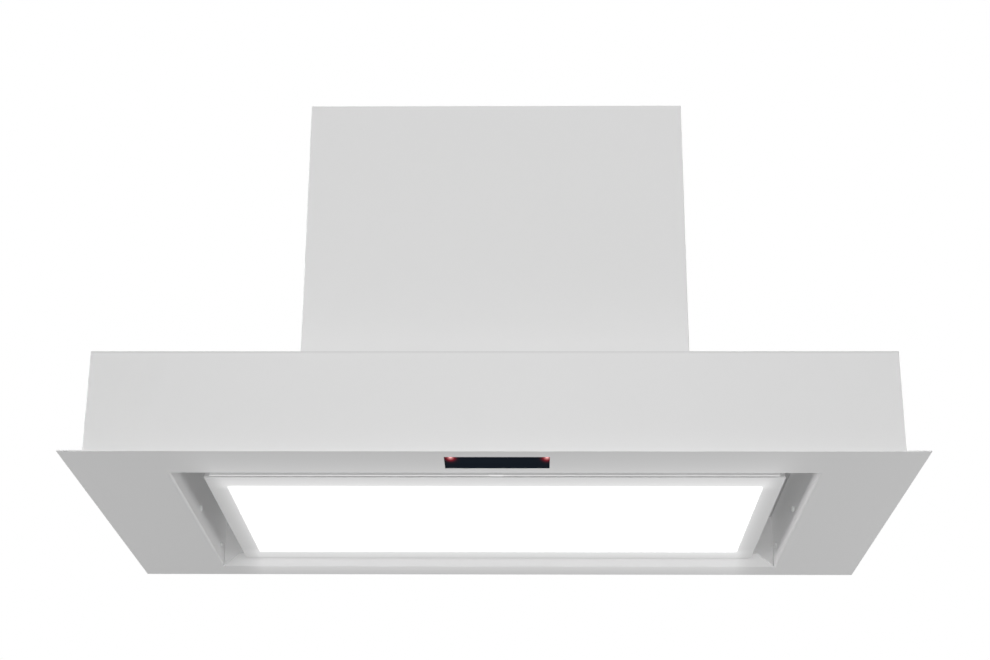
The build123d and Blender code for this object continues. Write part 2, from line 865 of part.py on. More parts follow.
def terminal_box():
    """The open-topped box under the motor box's lid, where the supply is connected."""
    lid = hood_height - sheet
    box = block(
        gland_x - terminal_width / 2,
        gland_x + terminal_width / 2,
        gland_y - terminal_depth / 2,
        gland_y + terminal_depth / 2,
        lid - terminal_height,
        lid,
    )
    hollow = block(
        gland_x - terminal_width / 2 + plastic_wall,
        gland_x + terminal_width / 2 - plastic_wall,
        gland_y - terminal_depth / 2 + plastic_wall,
        gland_y + terminal_depth / 2 - plastic_wall,
        lid - terminal_height + plastic_wall,
        lid + 1,
    )
    return box - hollow


def terminal_block():
    """A five-way terminal strip on the box's floor."""
    floor = hood_height - sheet - terminal_height + plastic_wall
    length = terminal_ways * terminal_pitch
    strip = block(
        gland_x - length / 2,
        gland_x + length / 2,
        gland_y - terminal_pitch,
        gland_y + terminal_pitch,
        floor,
        floor + terminal_pitch,
    )
    bore_z = floor + terminal_pitch / 2
    for way in range(terminal_ways):
        x = gland_x + (way - (terminal_ways - 1) / 2) * terminal_pitch
        start = (x, gland_y - terminal_pitch - 1, bore_z)
        strip = strip - rod(terminal_bore, 2 * terminal_pitch + 2, start, "Y")
    return strip


def cable_gland():
    """The cable gland in the lid: a stem, its hexagonal nut and its bevelled cap, with a through bore."""
    start = hood_height - sheet - gland_stem
    stem = rod(gland_radius, gland_stem + sheet, (0, 0, start))
    nut = Pos(0, 0, hood_height) * extrude(RegularPolygon(gland_nut_radius, 6), gland_nut_height)
    cap_base = hood_height + gland_nut_height
    cap = rod(gland_radius + gland_cap_step, gland_height - gland_nut_height, (0, 0, cap_base))
    cap = chamfer(cap.edges().group_by(Axis.Z)[-1], gland_bevel)
    gland = stem + nut + cap - rod(gland_bore, gland_height + gland_stem + 2 * sheet, (0, 0, start - 1))
    return Pos(gland_x, gland_y, 0) * gland


def wall_spacers():
    """Tubes between the cavity's side walls and the casing's sides, with the screws' bores."""
    length = casing_side - sheet - half_opening - sheet
    tubes = []
    for _, y, z in spacer_places:
        tube = rod(spacer_radius, length, (half_opening + sheet, y, z), "X")
        tube = tube - rod(screw_radius + screw_clearance, length + 2, (half_opening, y, z), "X")
        tubes += mirrored(tube)
    return tubes


def filter_frame():
    """The right grease filter's frame: a C-section ring with the two guides of its latch."""
    x0, x1 = filter_middle - filter_width / 2, filter_middle + filter_width / 2
    ring = block(x0, x1, filter_front, filter_back, filter_bottom, filter_top)
    ring = ring - block(
        x0 + filter_rim,
        x1 - filter_rim,
        filter_front + filter_rim,
        filter_back - filter_rim,
        filter_bottom - 1,
        filter_top + 1,
    )
    ring = ring - block(
        x0 + filter_wall,
        x1 - filter_wall,
        filter_front + filter_wall,
        filter_back - filter_wall,
        filter_bottom + filter_wall,
        filter_top - filter_wall,
    )
    back = filter_front + filter_rim
    for side in (-1, 1):
        inner = filter_middle + side * (latch_width / 2 + seat_gap)
        outer = filter_middle + side * (latch_width / 2 + guide_wall)
        lip = filter_middle + side * (latch_width / 2 - guide_wall)
        drop = latch_bottom - seat_gap
        ring = ring + block(inner, outer, filter_front + filter_wall, back, drop, filter_bottom)
        ring = ring + block(lip, outer, filter_front + filter_wall, back, drop - filter_wall, drop)
    return ring


def filter_mesh():
    """The right filter's two mesh skins, each with pressed ribs on its outer side."""
    x0 = filter_middle - filter_width / 2 + filter_wall
    x1 = filter_middle + filter_width / 2 - filter_wall
    y0, y1 = filter_front + filter_wall, filter_back - filter_wall
    bottom = filter_bottom + filter_wall
    skin = block(x0, x1, y0, y1, bottom, bottom + mesh_skin + mesh_rib)
    pitch_x = (filter_width - 2 * filter_rim + mesh_bar) / mesh_columns
    pitch_y = (filter_depth - 2 * filter_rim + mesh_bar) / mesh_rows
    start_x = filter_middle - filter_width / 2 + filter_rim
    start_y = filter_front + filter_rim
    for column in range(mesh_columns):
        for row in range(mesh_rows):
            x = start_x + column * pitch_x
            y = start_y + row * pitch_y
            pocket_x, pocket_y = x + pitch_x - mesh_bar, y + pitch_y - mesh_bar
            skin = skin - block(x, pocket_x, y, pocket_y, bottom - 1, bottom + mesh_rib)
    middle = Plane((0, 0, (filter_bottom + filter_top) / 2))
    return [skin, mirror(skin, about=middle)]


def filter_latch():
    """The right filter's latch: a sliding plate with a nose in the front rail and a turned-down grip."""
    y0 = filter_front + filter_wall
    x0, x1 = filter_middle - latch_width / 2, filter_middle + latch_width / 2
    plate = block(x0, x1, y0, y0 + latch_depth, latch_bottom, latch_top)
    nose = block(
        filter_middle - latch_nose_width / 2,
        filter_middle + latch_nose_width / 2,
        filter_front - rail_gap - sheet - latch_nose_reach,
        y0,
        latch_bottom,
        latch_top,
    )
    grip = block(
        x0,
        x1,
        y0 + latch_depth - latch_thickness,
        y0 + latch_depth,
        latch_bottom - latch_grip_height,
        latch_bottom,
    )
    return plate + nose + grip


def filter_rails():
    """The front rail with the latches' slots and the rear rail with the ledge, under the ceiling."""
    half = filter_middle + filter_width / 2
    web = filter_front - rail_gap
    front = block(-half, half, web - sheet, web, latch_bottom - rail_drop, cavity_height)
    slot_half = latch_nose_width / 2 + 2 * seat_gap
    for side in (-1, 1):
        middle = side * filter_middle
        front = front - block(
            middle - slot_half,
            middle + slot_half,
            web - 2 * sheet,
            web + sheet,
            latch_bottom - seat_gap,
            latch_top + seat_gap,
        )
    back_web = filter_back + seat_gap
    rear = block(-half, half, back_web, back_web + sheet, filter_bottom - sheet, cavity_height)
    ledge_front = filter_back - filter_ledge
    ledge = block(-half, half, ledge_front, back_web, filter_bottom - sheet, filter_bottom)
    return front, rear + ledge


def hinge_bracket():
    """The right hinge bracket: a foot under the ceiling and an ear with the pin's bore."""
    half = hinge_ear_thickness / 2
    foot = block(
        hinge_centre - half,
        hinge_centre + flange_width,
        hinge_y - hinge_ear_width,
        hinge_y + 2 * hinge_ear_width,
        cavity_height - sheet,
        cavity_height,
    )
    ear = block(
        hinge_centre - half,
        hinge_centre + half,
        hinge_y - hinge_ear_width / 2,
        hinge_y + hinge_ear_width / 2,
        hinge_z,
        cavity_height,
    )
    end = rod(hinge_ear_width / 2, hinge_ear_thickness, (hinge_centre - half, hinge_y, hinge_z), "X")
    bore = rod(
        hinge_pin_radius + running_clearance,
        hinge_ear_thickness + 2,
        (hinge_centre - half - 1, hinge_y, hinge_z),
        "X",
    )
    return foot + ear + end - bore


def catch_bracket():
    """The right catch bracket: a foot on the cavity's front wall and the plate that the magnet holds."""
    strike = panel_top + magnet_height + seat_gap
    x0, x1 = catch_centre - magnet_width / 2, catch_centre + magnet_width / 2
    arm_end = panel_front + catch_setback + magnet_depth / 2
    arm = block(x0, x1, opening_front, arm_end, strike, strike + sheet)
    foot = block(x0, x1, opening_front, opening_front + sheet, strike, strike + flange_width)
    return arm + foot


def panel_outline(inset, front):
    """The light panel's rounded outline in plan, drawn in by an inset, from a given front edge."""
    width = 2 * (panel_side - inset)
    depth = panel_rear - inset - front
    outline = Pos(0, front + depth / 2, 0) * Rectangle(width, depth)
    rear = outline.vertices().group_by(Axis.Y)[-1]
    return fillet(rear, panel_corner - inset)


def hinge_notches(bottom, top):
    """The notches in the panel's rear edge that the two hinge brackets stand in."""
    half = hinge_notch_width / 2
    front = panel_rear - hinge_notch_depth
    return mirrored(block(hinge_centre - half, hinge_centre + half, front, panel_rear + 1, bottom, top))


def panel_frame():
    """The light panel's face frame, with its upturned walls."""
    face = Pos(0, 0, panel_bottom) * extrude(panel_outline(0, panel_front), panel_sheet)
    wall_front = panel_front + trim_setback
    walls = extrude(panel_outline(0, wall_front), panel_height - 2 * panel_sheet)
    core = extrude(panel_outline(panel_sheet, wall_front + panel_sheet), panel_height)
    frame = face + Pos(0, 0, face_top) * (walls - core)
    window = Rectangle(2 * light_side, light_rear - light_front)
    window = extrude(fillet(window.vertices(), window_corner), 4 * panel_sheet)
    frame = frame - Pos(0, (light_front + light_rear) / 2, panel_bottom - 1) * window
    for notch in hinge_notches(face_top + panel_sheet, panel_top):
        frame = frame - notch
    return frame


def panel_trim():
    """The bright strip along the panel's front, above a thin seam, with its return to the front wall."""
    half = panel_side - panel_corner
    bottom = face_top + trim_seam
    face = block(-half, half, panel_front - panel_sheet, panel_front, bottom, bottom + trim_height)
    back = block(
        -half,
        half,
        panel_front,
        panel_front + trim_setback,
        bottom + trim_height - panel_sheet,
        bottom + trim_height,
    )
    return face + back


def finger_tab():
    """The half-round tab at the middle of the panel's front edge, with its small hole."""
    radius = tab_width / 2
    back = panel_front - panel_sheet
    middle = tab_bottom + radius
    disc = rod(radius, tab_thickness, (tab_centre, back - tab_thickness, middle), "Y")
    stem = block(
        tab_centre - radius, tab_centre + radius, back - tab_thickness, back, middle, middle + tab_stem
    )
    upper = block(
        tab_centre - tab_width,
        tab_centre + tab_width,
        back - 2 * tab_thickness,
        back + 1,
        middle,
        middle + tab_width,
    )
    hole_start = (tab_centre, back - 2 * tab_thickness, tab_hole_height)
    hole = rod(tab_hole_radius, 4 * tab_thickness, hole_start, "Y")
    return disc - upper + stem - hole


def panel_layer(bottom, thickness):
    """One flat layer behind the light opening: the diffuser, the light guide or the reflector."""
    return block(-guide_side, guide_side, guide_front, guide_rear, bottom, bottom + thickness)


def led_bar():
    """The right LED bar: an aluminium strip along the light guide's edge."""
    top = guide_bottom + guide_thickness
    return block(guide_side, guide_side + led_bar_width, guide_front, guide_rear, face_top, top)


def panel_stiffener(y):
    """A hat-section stiffener between the reflector and the back cover."""
    bottom = guide_bottom + guide_thickness + reflector_thickness
    top = panel_top - panel_sheet
    half = stiffener_width / 2
    hat = block(-guide_side, guide_side, y - half, y + half, bottom, top)
    reach = guide_side + 1
    inner = half - panel_sheet
    return hat - block(-reach, reach, y - inner, y + inner, bottom - 1, top - panel_sheet)


def panel_back():
    """The light panel's back cover, with the notches for the hinge brackets."""
    cover = extrude(panel_outline(0, panel_front + trim_setback), panel_sheet)
    cover = Pos(0, 0, panel_top - panel_sheet) * cover
    for notch in hinge_notches(panel_top - 2 * panel_sheet, panel_top + 1):
        cover = cover - notch
    return cover


def hinge_clip():
    """The right hinge clip on the panel's frame: two cheeks that hold the pin, on a floor plate."""
    inner = hinge_ear_thickness / 2 + clip_gap
    outer = inner + clip_sheet
    rear = panel_rear - panel_sheet - seat_gap
    front = hinge_y - clip_reach
    left, right = hinge_centre - outer, hinge_centre + outer
    clip = block(left, right, front, rear, face_top, face_top + panel_sheet)
    for side in (-1, 1):
        cheek = block(
            hinge_centre + side * inner,
            hinge_centre + side * outer,
            front,
            rear,
            face_top,
            hinge_z + hinge_ear_width / 2,
        )
        clip = clip + cheek
    return clip - hinge_pin()


def hinge_pin():
    """The right hinge pin, fast in the clip's cheeks and free in the bracket's ear."""
    start = (hinge_centre - hinge_clip_width / 2, hinge_y, hinge_z)
    return rod(hinge_pin_radius, hinge_clip_width, start, "X")


def catch_magnet():
    """The right magnet of the panel's catch, on the back cover."""
    middle = panel_front + catch_setback
    magnet = block(
        catch_centre - magnet_width / 2,
        catch_centre + magnet_width / 2,
        middle - magnet_depth / 2,
        middle + magnet_depth / 2,
        panel_top,
        panel_top + magnet_height,
    )
    return chamfer(magnet.edges().group_by(Axis.Z)[-1], magnet_bevel)


def build():
    """Writes every node."""
    os.makedirs("parts", exist_ok=True)
    save("bottom_plate", bottom_plate())
    save("cavity_ceiling", cavity_ceiling())
    save("casing_wrap", casing_wrap())
    save("casing_back", casing_back_panel())
    save("casing_top", casing_top())
    save("motor_box_wrap", motor_box_wrap())
    save("motor_box_back", motor_box_back())
    save("motor_box_top", motor_box_top())
    save("outlet_adapter", outlet_adapter())
    save("outlet_collar", outlet_collar())
    save("flap_spindle", flap_spindle())
    left_flap = outlet_flap(knuckle_gap / 2 - 2 * (knuckle_length + knuckle_gap))
    right_flap = Rot(0, 0, 180) * left_flap
    save("flap_left", left_flap)
    save("flap_right", right_flap)
    save("scroll_wrap", scroll_wrap())
    right_side, left_side = mirrored(scroll_side())
    save("scroll_side_right", right_side)
    save("scroll_side_left", left_side)
    save("impeller", impeller())
    save("motor_shaft", motor_shaft())
    save("impeller_nut", impeller_nut())
    save("motor", motor())
    save("motor_bracket", motor_bracket())
    save("motor_grommets", *motor_grommets())
    save("capacitor", capacitor())
    save("control_glass", control_glass())
    save("indicator_lenses", *indicator_lenses())
    save("control_housing", control_housing())
    save("control_board", control_board())
    save("led_driver", led_driver())
    save("terminal_box", terminal_box())
    save("terminal_block", terminal_block())
    save("cable_gland", cable_gland())
    save("wall_spacers", *wall_spacers())
    save("filter_rails", *filter_rails())
    for name, solids in (
        ("frame", [filter_frame()]),
        ("mesh", filter_mesh()),
        ("latch", [filter_latch()]),
    ):
        save(f"filter_{name}_right", *solids)
        save(f"filter_{name}_left", *[mirror(solid, about=Plane.YZ) for solid in solids])
    save("hinge_brackets", *mirrored(hinge_bracket()))
    save("catch_brackets", *mirrored(catch_bracket()))
    save("panel_frame", panel_frame())
    save("panel_trim", panel_trim())
    save("finger_tab", finger_tab())
    save("light_diffuser", panel_layer(face_top, diffuser_thickness))
    save("light_guide", panel_layer(guide_bottom, guide_thickness))
    save("light_reflector", panel_layer(guide_bottom + guide_thickness, reflector_thickness))
    save("led_bars", *mirrored(led_bar()))
    stiffener_rows = (guide_front + stiffener_margin, guide_rear - stiffener_margin)
    save("panel_stiffeners", *[panel_stiffener(y) for y in stiffener_rows])
    save("panel_back", panel_back())
    save("hinge_clips", *mirrored(hinge_clip()))
    save("hinge_pins", *mirrored(hinge_pin()))
    save("catch_magnets", *mirrored(catch_magnet()))
    cavity_screws = []
    for place in spacer_places:
        cavity_screws += mirrored(screw(place, "-X"))
    save("cavity_screws", *cavity_screws)
    save("casing_screws", *[screw(place, "+Y") for place in casing_back_places])
    save(
        "motor_box_screws",
        *[screw(place, "+Z") for place in box_screw_places],
        *[screw(place, "+Y") for place in box_back_places],
    )


build()
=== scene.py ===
"""Finishes a built-in range hood and sets the studio in which it hangs.

Metres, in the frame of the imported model: +X to the right as the cook sees it, +Y to the back, +Z up,
with the origin at the centre of the bottom plate's underside.
"""

import math

import bmesh
import bpy
from bpy.props import FloatProperty, FloatVectorProperty, IntProperty, PointerProperty
from mathutils import Matrix, Vector


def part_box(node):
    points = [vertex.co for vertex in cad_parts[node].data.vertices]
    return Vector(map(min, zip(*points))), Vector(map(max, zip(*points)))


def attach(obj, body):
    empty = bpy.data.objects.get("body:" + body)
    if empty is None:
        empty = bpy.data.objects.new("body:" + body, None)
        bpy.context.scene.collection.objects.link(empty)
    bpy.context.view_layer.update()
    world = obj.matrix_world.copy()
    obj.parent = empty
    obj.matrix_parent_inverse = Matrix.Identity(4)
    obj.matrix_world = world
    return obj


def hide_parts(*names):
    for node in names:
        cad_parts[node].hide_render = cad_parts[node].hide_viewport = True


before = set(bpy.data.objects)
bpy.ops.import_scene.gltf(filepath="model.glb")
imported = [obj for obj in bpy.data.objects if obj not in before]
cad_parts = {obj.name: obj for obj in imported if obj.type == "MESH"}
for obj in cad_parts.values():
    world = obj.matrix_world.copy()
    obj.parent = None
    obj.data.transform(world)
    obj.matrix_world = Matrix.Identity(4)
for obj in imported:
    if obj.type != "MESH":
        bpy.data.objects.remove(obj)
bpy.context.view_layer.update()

bl_info = {
    "name": "Range Hood Finish",
    "version": (1, 0, 0),
    "blender": (4, 5, 0),
    "location": "View3D > Sidebar > Hood",
    "description": "Finishes a built-in range hood and sets its studio",
    "category": "Material",
}

MM = 0.001
# Segments round a turned form, and steps in a quarter of a rounded corner
ROUND = 24
CORNER_STEPS = 4
# Height over which the trim's painted bright strip fades in, and the share of painted leak light that a
# downward face keeps
STRIP_BLEND = 0.3 * MM
LEAST_LEAK = 0.05
# The diffuser's edge that the frame covers
COVERED_EDGE = 9.7 * MM
# A pan-head screw in millimetres: (radius, height) pairs of its head and of its shank below the threads
SCREW_HEAD = ((3.6, 0.0), (3.6, 0.9), (3.45, 1.45), (3.0, 1.95), (2.2, 2.28), (1.2, 2.4))
SCREW_POINT = ((0.5, -8.0), (1.3, -7.2))
SCREW_NECK = ((1.7, -0.4), (1.7, 0.0))
THREADS = 6
THREAD_START, THREAD_PITCH = -6.6, 1.0
THREAD_ROOT, THREAD_CREST = 1.45, 1.8
THREAD_RISE, THREAD_WIDTH = 0.35, 0.7
SCREW_TURN = 0.7
# The recess in a screw's head: the cross's arm, half its width, its foot and top, and its size at each
CROSS_ARM, CROSS_HALF = 2.0 * MM, 0.42 * MM
CROSS_ENDS = ((0.9 * MM, 0.45), (3.0 * MM, 1.1))
# An indicator's dome as shares of its radius and height
LENS_OUTLINE = ((1.0, 1.0), (1.0, 0.45), (0.93, 0.25), (0.78, 0.1), (0.55, 0.02), (0.2, 0.0))
# The finger tab's rolled edge: shares of the roll left, and of the tab's thickness
TAB_ROLL = 3 * MM
TAB_SECTION = ((0.9, 0.0), (1.0, 0.15), (1.0, 0.85), (0.9, 1.0))
# The control pane's step into the window: inset from the window's edge and height from the pane's face
PANE_STEP = ((0.35 * MM, -0.8 * MM), (0.15 * MM, -0.6 * MM), (0.15 * MM, 0.0))
PANE_BEVEL = 0.3 * MM
PANE_STEP_CORNER, PANE_CORNER = 0.4 * MM, 1.0 * MM
# The floor: half its width, and where it begins to fade to white and over what distance
FLOOR_REACH = 24.0
FADE_START, FADE_LENGTH = 2.0, 5.0
# The camera: its lens in millimetres, place, and turns about Z, X and Z in degrees
CAMERA_LENS = 68.516
CAMERA_PLACE = (0.03097, -2.09977, -0.59663)
CAMERA_TURNS = ((0.9103, "Z"), (111.6089, "X"), (0.3191, "Z"))

# Where each screw's head rests, and the way that it points
CAVITY_SCREWS = [((side * 0.346, y, 0.019), (-side, 0, 0)) for side in (-1, 1) for y in (-0.14, 0.02, 0.18)]
CASING_SCREWS = [((side * 0.42, 0.24, z), (0, 1, 0)) for side in (-1, 1) for z in (0.028, 0.088)]
BOX_SCREWS = [((side * 0.2065, 0.165, z), (0, 1, 0)) for side in (-1, 1) for z in (0.16, 0.405)]
BOX_SCREWS += [((x, y, 0.1172), (0, 0, 1)) for x in (-0.15, 0.15) for y in (-0.1725, 0.1725)]
BOX_SCREWS += [((side * 0.2215, 0.0, 0.1172), (0, 0, 1)) for side in (-1, 1)]

GLAND_AXIS = (0.165, 0.11)
# The gland's outline: height, radius and shape of each ring, in millimetres
GLAND_RINGS = (
    (439.8, 4.5, "round"),
    (439.8, 9.2, "round"),
    (440.6, 10.0, "round"),
    (449.0, 10.0, "round"),
    (449.0, 13.4, "hexagon"),
    (449.6, 14.0, "hexagon"),
    (454.2, 14.0, "hexagon"),
    (455.0, 13.2, "hexagon"),
    (455.0, 10.6, "ribbed"),
    (455.6, 11.0, "ribbed"),
    (466.4, 11.0, "ribbed"),
    (468.6, 10.2, "ribbed"),
    (470.2, 8.8, "round"),
    (471.0, 7.4, "round"),
    (470.9, 6.8, "round"),
    (469.6, 6.6, "round"),
    (469.6, 5.2, "round"),
    (469.2, 4.5, "round"),
    (439.8, 4.5, "round"),
)


# ---------------------------------------------------------------- materials


class Wire:
    """A number, colour or vector in a material. Operators on numbers add Math nodes."""

    def __init__(self, nodes, socket):
        self.nodes = nodes
        self.socket = socket

    def maths(self, operation, *values):
        return self.nodes.add("Math", {"operation": operation}, dict(enumerate(values)))

    def __add__(self, other):
        return self.maths("ADD", self, other)

    def __radd__(self, other):
        return self.maths("ADD", other, self)

    def __sub__(self, other):
        return self.maths("SUBTRACT", self, other)

    def __rsub__(self, other):
        return self.maths("SUBTRACT", other, self)

    def __mul__(self, other):
        return self.maths("MULTIPLY", self, other)

    def __rmul__(self, other):
        return self.maths("MULTIPLY", other, self)

    def __truediv__(self, other):
        return self.maths("DIVIDE", self, other)

    def __pow__(self, other):
        return self.maths("POWER", self, other)

    def __neg__(self):
        return self.maths("MULTIPLY", self, -1.0)

    def __abs__(self):
        return self.maths("ABSOLUTE", self)

    def exp(self):
        return self.maths("EXPONENT", self)

    def at_least(self, other):
        return self.maths("MAXIMUM", self, other)

    def at_most(self, other):
        return self.maths("MINIMUM", self, other)


class Nodes:
    """A node tree, filled by expressions."""

    def __init__(self, tree):
        self.tree = tree
        tree.nodes.clear()

    def add(self, kind, settings=None, sockets=None, output=0):
        """Adds a shader node, sets it, then fills its sockets, and gives back one output."""
        node = self.tree.nodes.new("ShaderNode" + kind)
        for name, value in (settings or {}).items():
            setattr(node, name, value)
        for key, value in (sockets or {}).items():
            socket = self.find(node.inputs, key)
            if isinstance(value, Wire):
                self.tree.links.new(value.socket, socket)
            else:
                socket.default_value = value
        return Wire(self, self.find(node.outputs, output)) if node.outputs else None

    @staticmethod
    def find(sockets, key):
        if isinstance(key, int):
            return sockets[key]
        return next(socket for socket in sockets if key in (socket.identifier, socket.name))

    def numbers(self, vector):
        """The three numbers of a vector or colour."""
        split = self.add("SeparateXYZ", None, {0: vector})
        return [Wire(self, socket) for socket in split.socket.node.outputs]

    def place(self):
        """The point in the piece's own frame, as a vector and as its three numbers."""
        point = self.add("TexCoord", output="Object")
        return point, self.numbers(point)

    def facing_down(self):
        """1 on faces that look down in the piece's own frame, 0 on walls and on faces that look up."""
        normal = self.numbers(self.add("TexCoord", output="Normal"))
        return (-normal[2]).at_least(0.0)

    def noise(self, point, scale, detail=2.0):
        return self.add("TexNoise", None, {"Vector": point, "Scale": scale, "Detail": detail})

    def between(self, first, second, share):
        """A colour between two colours."""
        sockets = {"Factor_Float": share, "A_Color": opaque(first), "B_Color": opaque(second)}
        return self.add("Mix", {"data_type": "RGBA"}, sockets, "Result_Color")

    def shades(self, colour, low, high, share):
        """A colour between two shades of it."""
        dark = [value * low for value in colour]
        light = [value * high for value in colour]
        return self.between(dark, light, share)

    def scaled(self, colour, factor):
        """A colour times a number."""
        return self.add("VectorMath", {"operation": "SCALE"}, {0: colour, "Scale": factor})

    def bump(self, height, distance, strength=0.5):
        return self.add("Bump", None, {"Height": height, "Distance": distance, "Strength": strength})

    def seen(self):
        """1 for what the camera sees directly, in gloss or through glass, 0 for other light."""
        rays = ("Is Camera Ray", "Is Glossy Ray", "Is Transmission Ray")
        camera, gloss, glass = [self.add("LightPath", output=name) for name in rays]
        return (camera + gloss + glass).at_most(1.0)


class Finish(Nodes):
    """A material."""

    def __init__(self, name):
        self.material = bpy.data.materials.new(name)
        self.material.use_nodes = True
        super().__init__(self.material.node_tree)

    def close(self, **sockets):
        """Ends the material with the main shader. A socket's name is written with underscores."""
        named = {name.replace("_", " "): value for name, value in sockets.items()}
        for name in ("Base Color", "Emission Color"):
            if name in named:
                named[name] = opaque(named[name])
        shader = self.add("BsdfPrincipled", None, named)
        self.add("OutputMaterial", None, {"Surface": shader})
        return self.material


def opaque(colour):
    """A plain colour with its alpha. Anything else is given back as it is."""
    return (*colour, 1.0) if isinstance(colour, (tuple, list)) else colour


def dress(material, *nodes):
    """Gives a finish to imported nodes."""
    for name in nodes:
        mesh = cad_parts[name].data
        mesh.materials.clear()
        mesh.materials.append(material)


def hood():
    """The settings that a user may change."""
    return bpy.context.scene.hood


def light_window():
    """Middle and half sizes of the lit window, from the diffuser's box less its covered edges."""
    low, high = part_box("light_diffuser")
    middle = (low + high) / 2
    half = (high - low) / 2
    return middle.x, middle.y, half.x - COVERED_EDGE, half.y - COVERED_EDGE


def painted_halo(finish, x, y, strength):
    """Painted glow of the lit window on the faces beside it: emission that fades with the distance, on faces
    that look down.
    """
    light = hood().light
    middle_x, middle_y, half_x, half_y = light_window()
    across = (abs(x - middle_x) - half_x).at_least(0.0) / light.halo_side
    along = (abs(y - middle_y) - half_y).at_least(0.0) / light.halo_depth
    reach = (across * across + along * along) ** 0.5
    end = ((abs(y - middle_y) - half_y) / light.halo_blend + 1.0).at_least(0.0).at_most(1.0)
    return (-reach).exp() * (1.0 + light.halo_ends * end) * strength * finish.facing_down()


def painted_leak(finish, z, strength):
    """Painted light leaking round the panel into the cavity: emission that grows with the height, weaker on
    the faces that look down.
    """
    light = hood().light
    depth = z.at_least(0.0) / light.leak_depth
    return (1.0 - (-depth).exp()) * strength * (1.0 - finish.facing_down().at_most(1.0 - LEAST_LEAK))


def spilled(finish, z, strength):
    """Painted light of the panel on faces that look forward, with a painted highlight on the trim's lowest
    strip: emission on the coat.
    """
    light = hood().light
    normal = finish.numbers(finish.add("TexCoord", output="Normal"))
    heights = (light.strip_top, light.strip_foot)
    below_top, below_foot = [((height - z) / STRIP_BLEND).at_least(0.0).at_most(1.0) for height in heights]
    strip = (below_top - below_foot) * light.strip_share
    return (-normal[1]).at_least(0.0) * (1.0 + strip) * strength


def powder_coat(name, glow=0.0, leak=0.0, spill=0.0, fold=None):
    """Satin powder coat with a fine peel and faint clouds, and painted light of the panel (emission) where
    its strength is given.

    `fold` is the height of the casing's top fold, along which the coat is darkened by painted shade.
    """
    coat = hood().coat
    finish = Finish(name)
    point, (x, y, z) = finish.place()
    clouds = finish.noise(point, coat.cloud_scale, 3.0)
    peel = finish.noise(point, coat.peel_scale, 1.0)
    tone = finish.shades(coat.colour, 0.985, 1.015, clouds)
    # Painted shade: the coat darkens towards the casing's top fold, where the motor box stands on it
    if fold is not None:
        edge = (1.0 - (fold - z) / coat.fold_width).at_least(0.0).at_most(1.0)
        tone = finish.scaled(tone, 1.0 - coat.fold_shade * edge)
    sockets = {
        "Base_Color": tone,
        "Roughness": coat.roughness + 0.06 * (clouds - 0.5),
        "Normal": finish.bump(peel, coat.peel_depth),
    }
    # Painted light: emission standing in for the panel's glow, leak and spill on these faces
    if glow or leak or spill:
        light = painted_halo(finish, x, y, glow) if glow else 0.0
        if leak:
            light = painted_leak(finish, z, leak) + light
        if spill:
            light = spilled(finish, z, spill) + light
        sockets["Emission_Color"] = finish.scaled((1.0, 1.0, 1.0), light)
        sockets["Emission_Strength"] = 1.0
    return finish.close(**sockets)


def zinc_sheet():
    """Zinc-coated sheet with its crystal spangle."""
    metal = hood().metal
    finish = Finish("zinc_sheet")
    point, _ = finish.place()
    cells = finish.add("TexVoronoi", None, {"Vector": point, "Scale": metal.spangle_scale}, "Color")
    spangle = finish.numbers(cells)[0]
    return finish.close(
        Base_Color=finish.shades(metal.zinc, 0.82, 1.12, spangle),
        Metallic=1.0,
        Roughness=0.34 + 0.18 * spangle,
    )


def drawn_metal(name, colour, roughness, grain):
    """Metal with a fine grain along one way. `grain` is the grain's fineness along X, Y and Z."""
    finish = Finish(name)
    point, _ = finish.place()
    drawn = finish.add("VectorMath", {"operation": "MULTIPLY"}, {0: point, 1: grain})
    lines = finish.noise(drawn, 1.0, 4.0)
    return finish.close(
        Base_Color=finish.shades(colour, 0.88, 1.06, lines),
        Metallic=1.0,
        Roughness=roughness + 0.14 * (lines - 0.5),
        Normal=finish.bump(lines, 0.02 * MM),
    )


def moulded(name, colour, roughness, grain_depth=0.03 * MM):
    """Moulded plastic or rubber with a fine spark grain."""
    finish = Finish(name)
    point, _ = finish.place()
    grain = finish.noise(point, 1800.0)
    clouds = finish.noise(point, 14.0)
    return finish.close(
        Base_Color=finish.shades(colour, 0.92, 1.06, clouds),
        Roughness=roughness + 0.1 * (grain - 0.5),
        Normal=finish.bump(grain, grain_depth),
    )


def lit_opal():
    """The opal sheet, lit from behind: even, and a little softer along the window's edges."""
    light = hood().light
    finish = Finish("opal_acrylic_lit")
    point, (x, y, _) = finish.place()
    middle_x, middle_y, half_x, half_y = light_window()
    inside = (half_x - abs(x - middle_x)).at_most(half_y - abs(y - middle_y))
    share = (inside.at_least(0.0) / light.edge_width).at_most(1.0)
    clouds = 0.99 + 0.02 * finish.noise(point, 20.0)
    strength = (light.edge_share + (1.0 - light.edge_share) * share) * clouds
    return finish.close(
        Base_Color=(0.9, 0.9, 0.89),
        Roughness=0.35,
        Emission_Color=finish.scaled(tuple(light.colour), strength),
        Emission_Strength=light.strength,
    )


def lens_places():
    """Where the two indicator lenses stand along the control window."""
    low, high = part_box("control_glass")
    control = hood().control
    return low.x + control.overlap + control.left_inset, high.x - control.overlap - control.right_inset


def from_lens(x, y, stretch=1.0):
    """The distance to the nearer of the two indicator lenses. `stretch` shortens it along Y."""
    low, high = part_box("indicator_lenses")
    radius = (high.y - low.y) / 2
    left, right = lens_places()
    across = abs(x - (left + right) / 2) - (right - left) / 2
    along = y - (low.y + high.y) / 2
    return (across * across + along * along * stretch) ** 0.5, radius


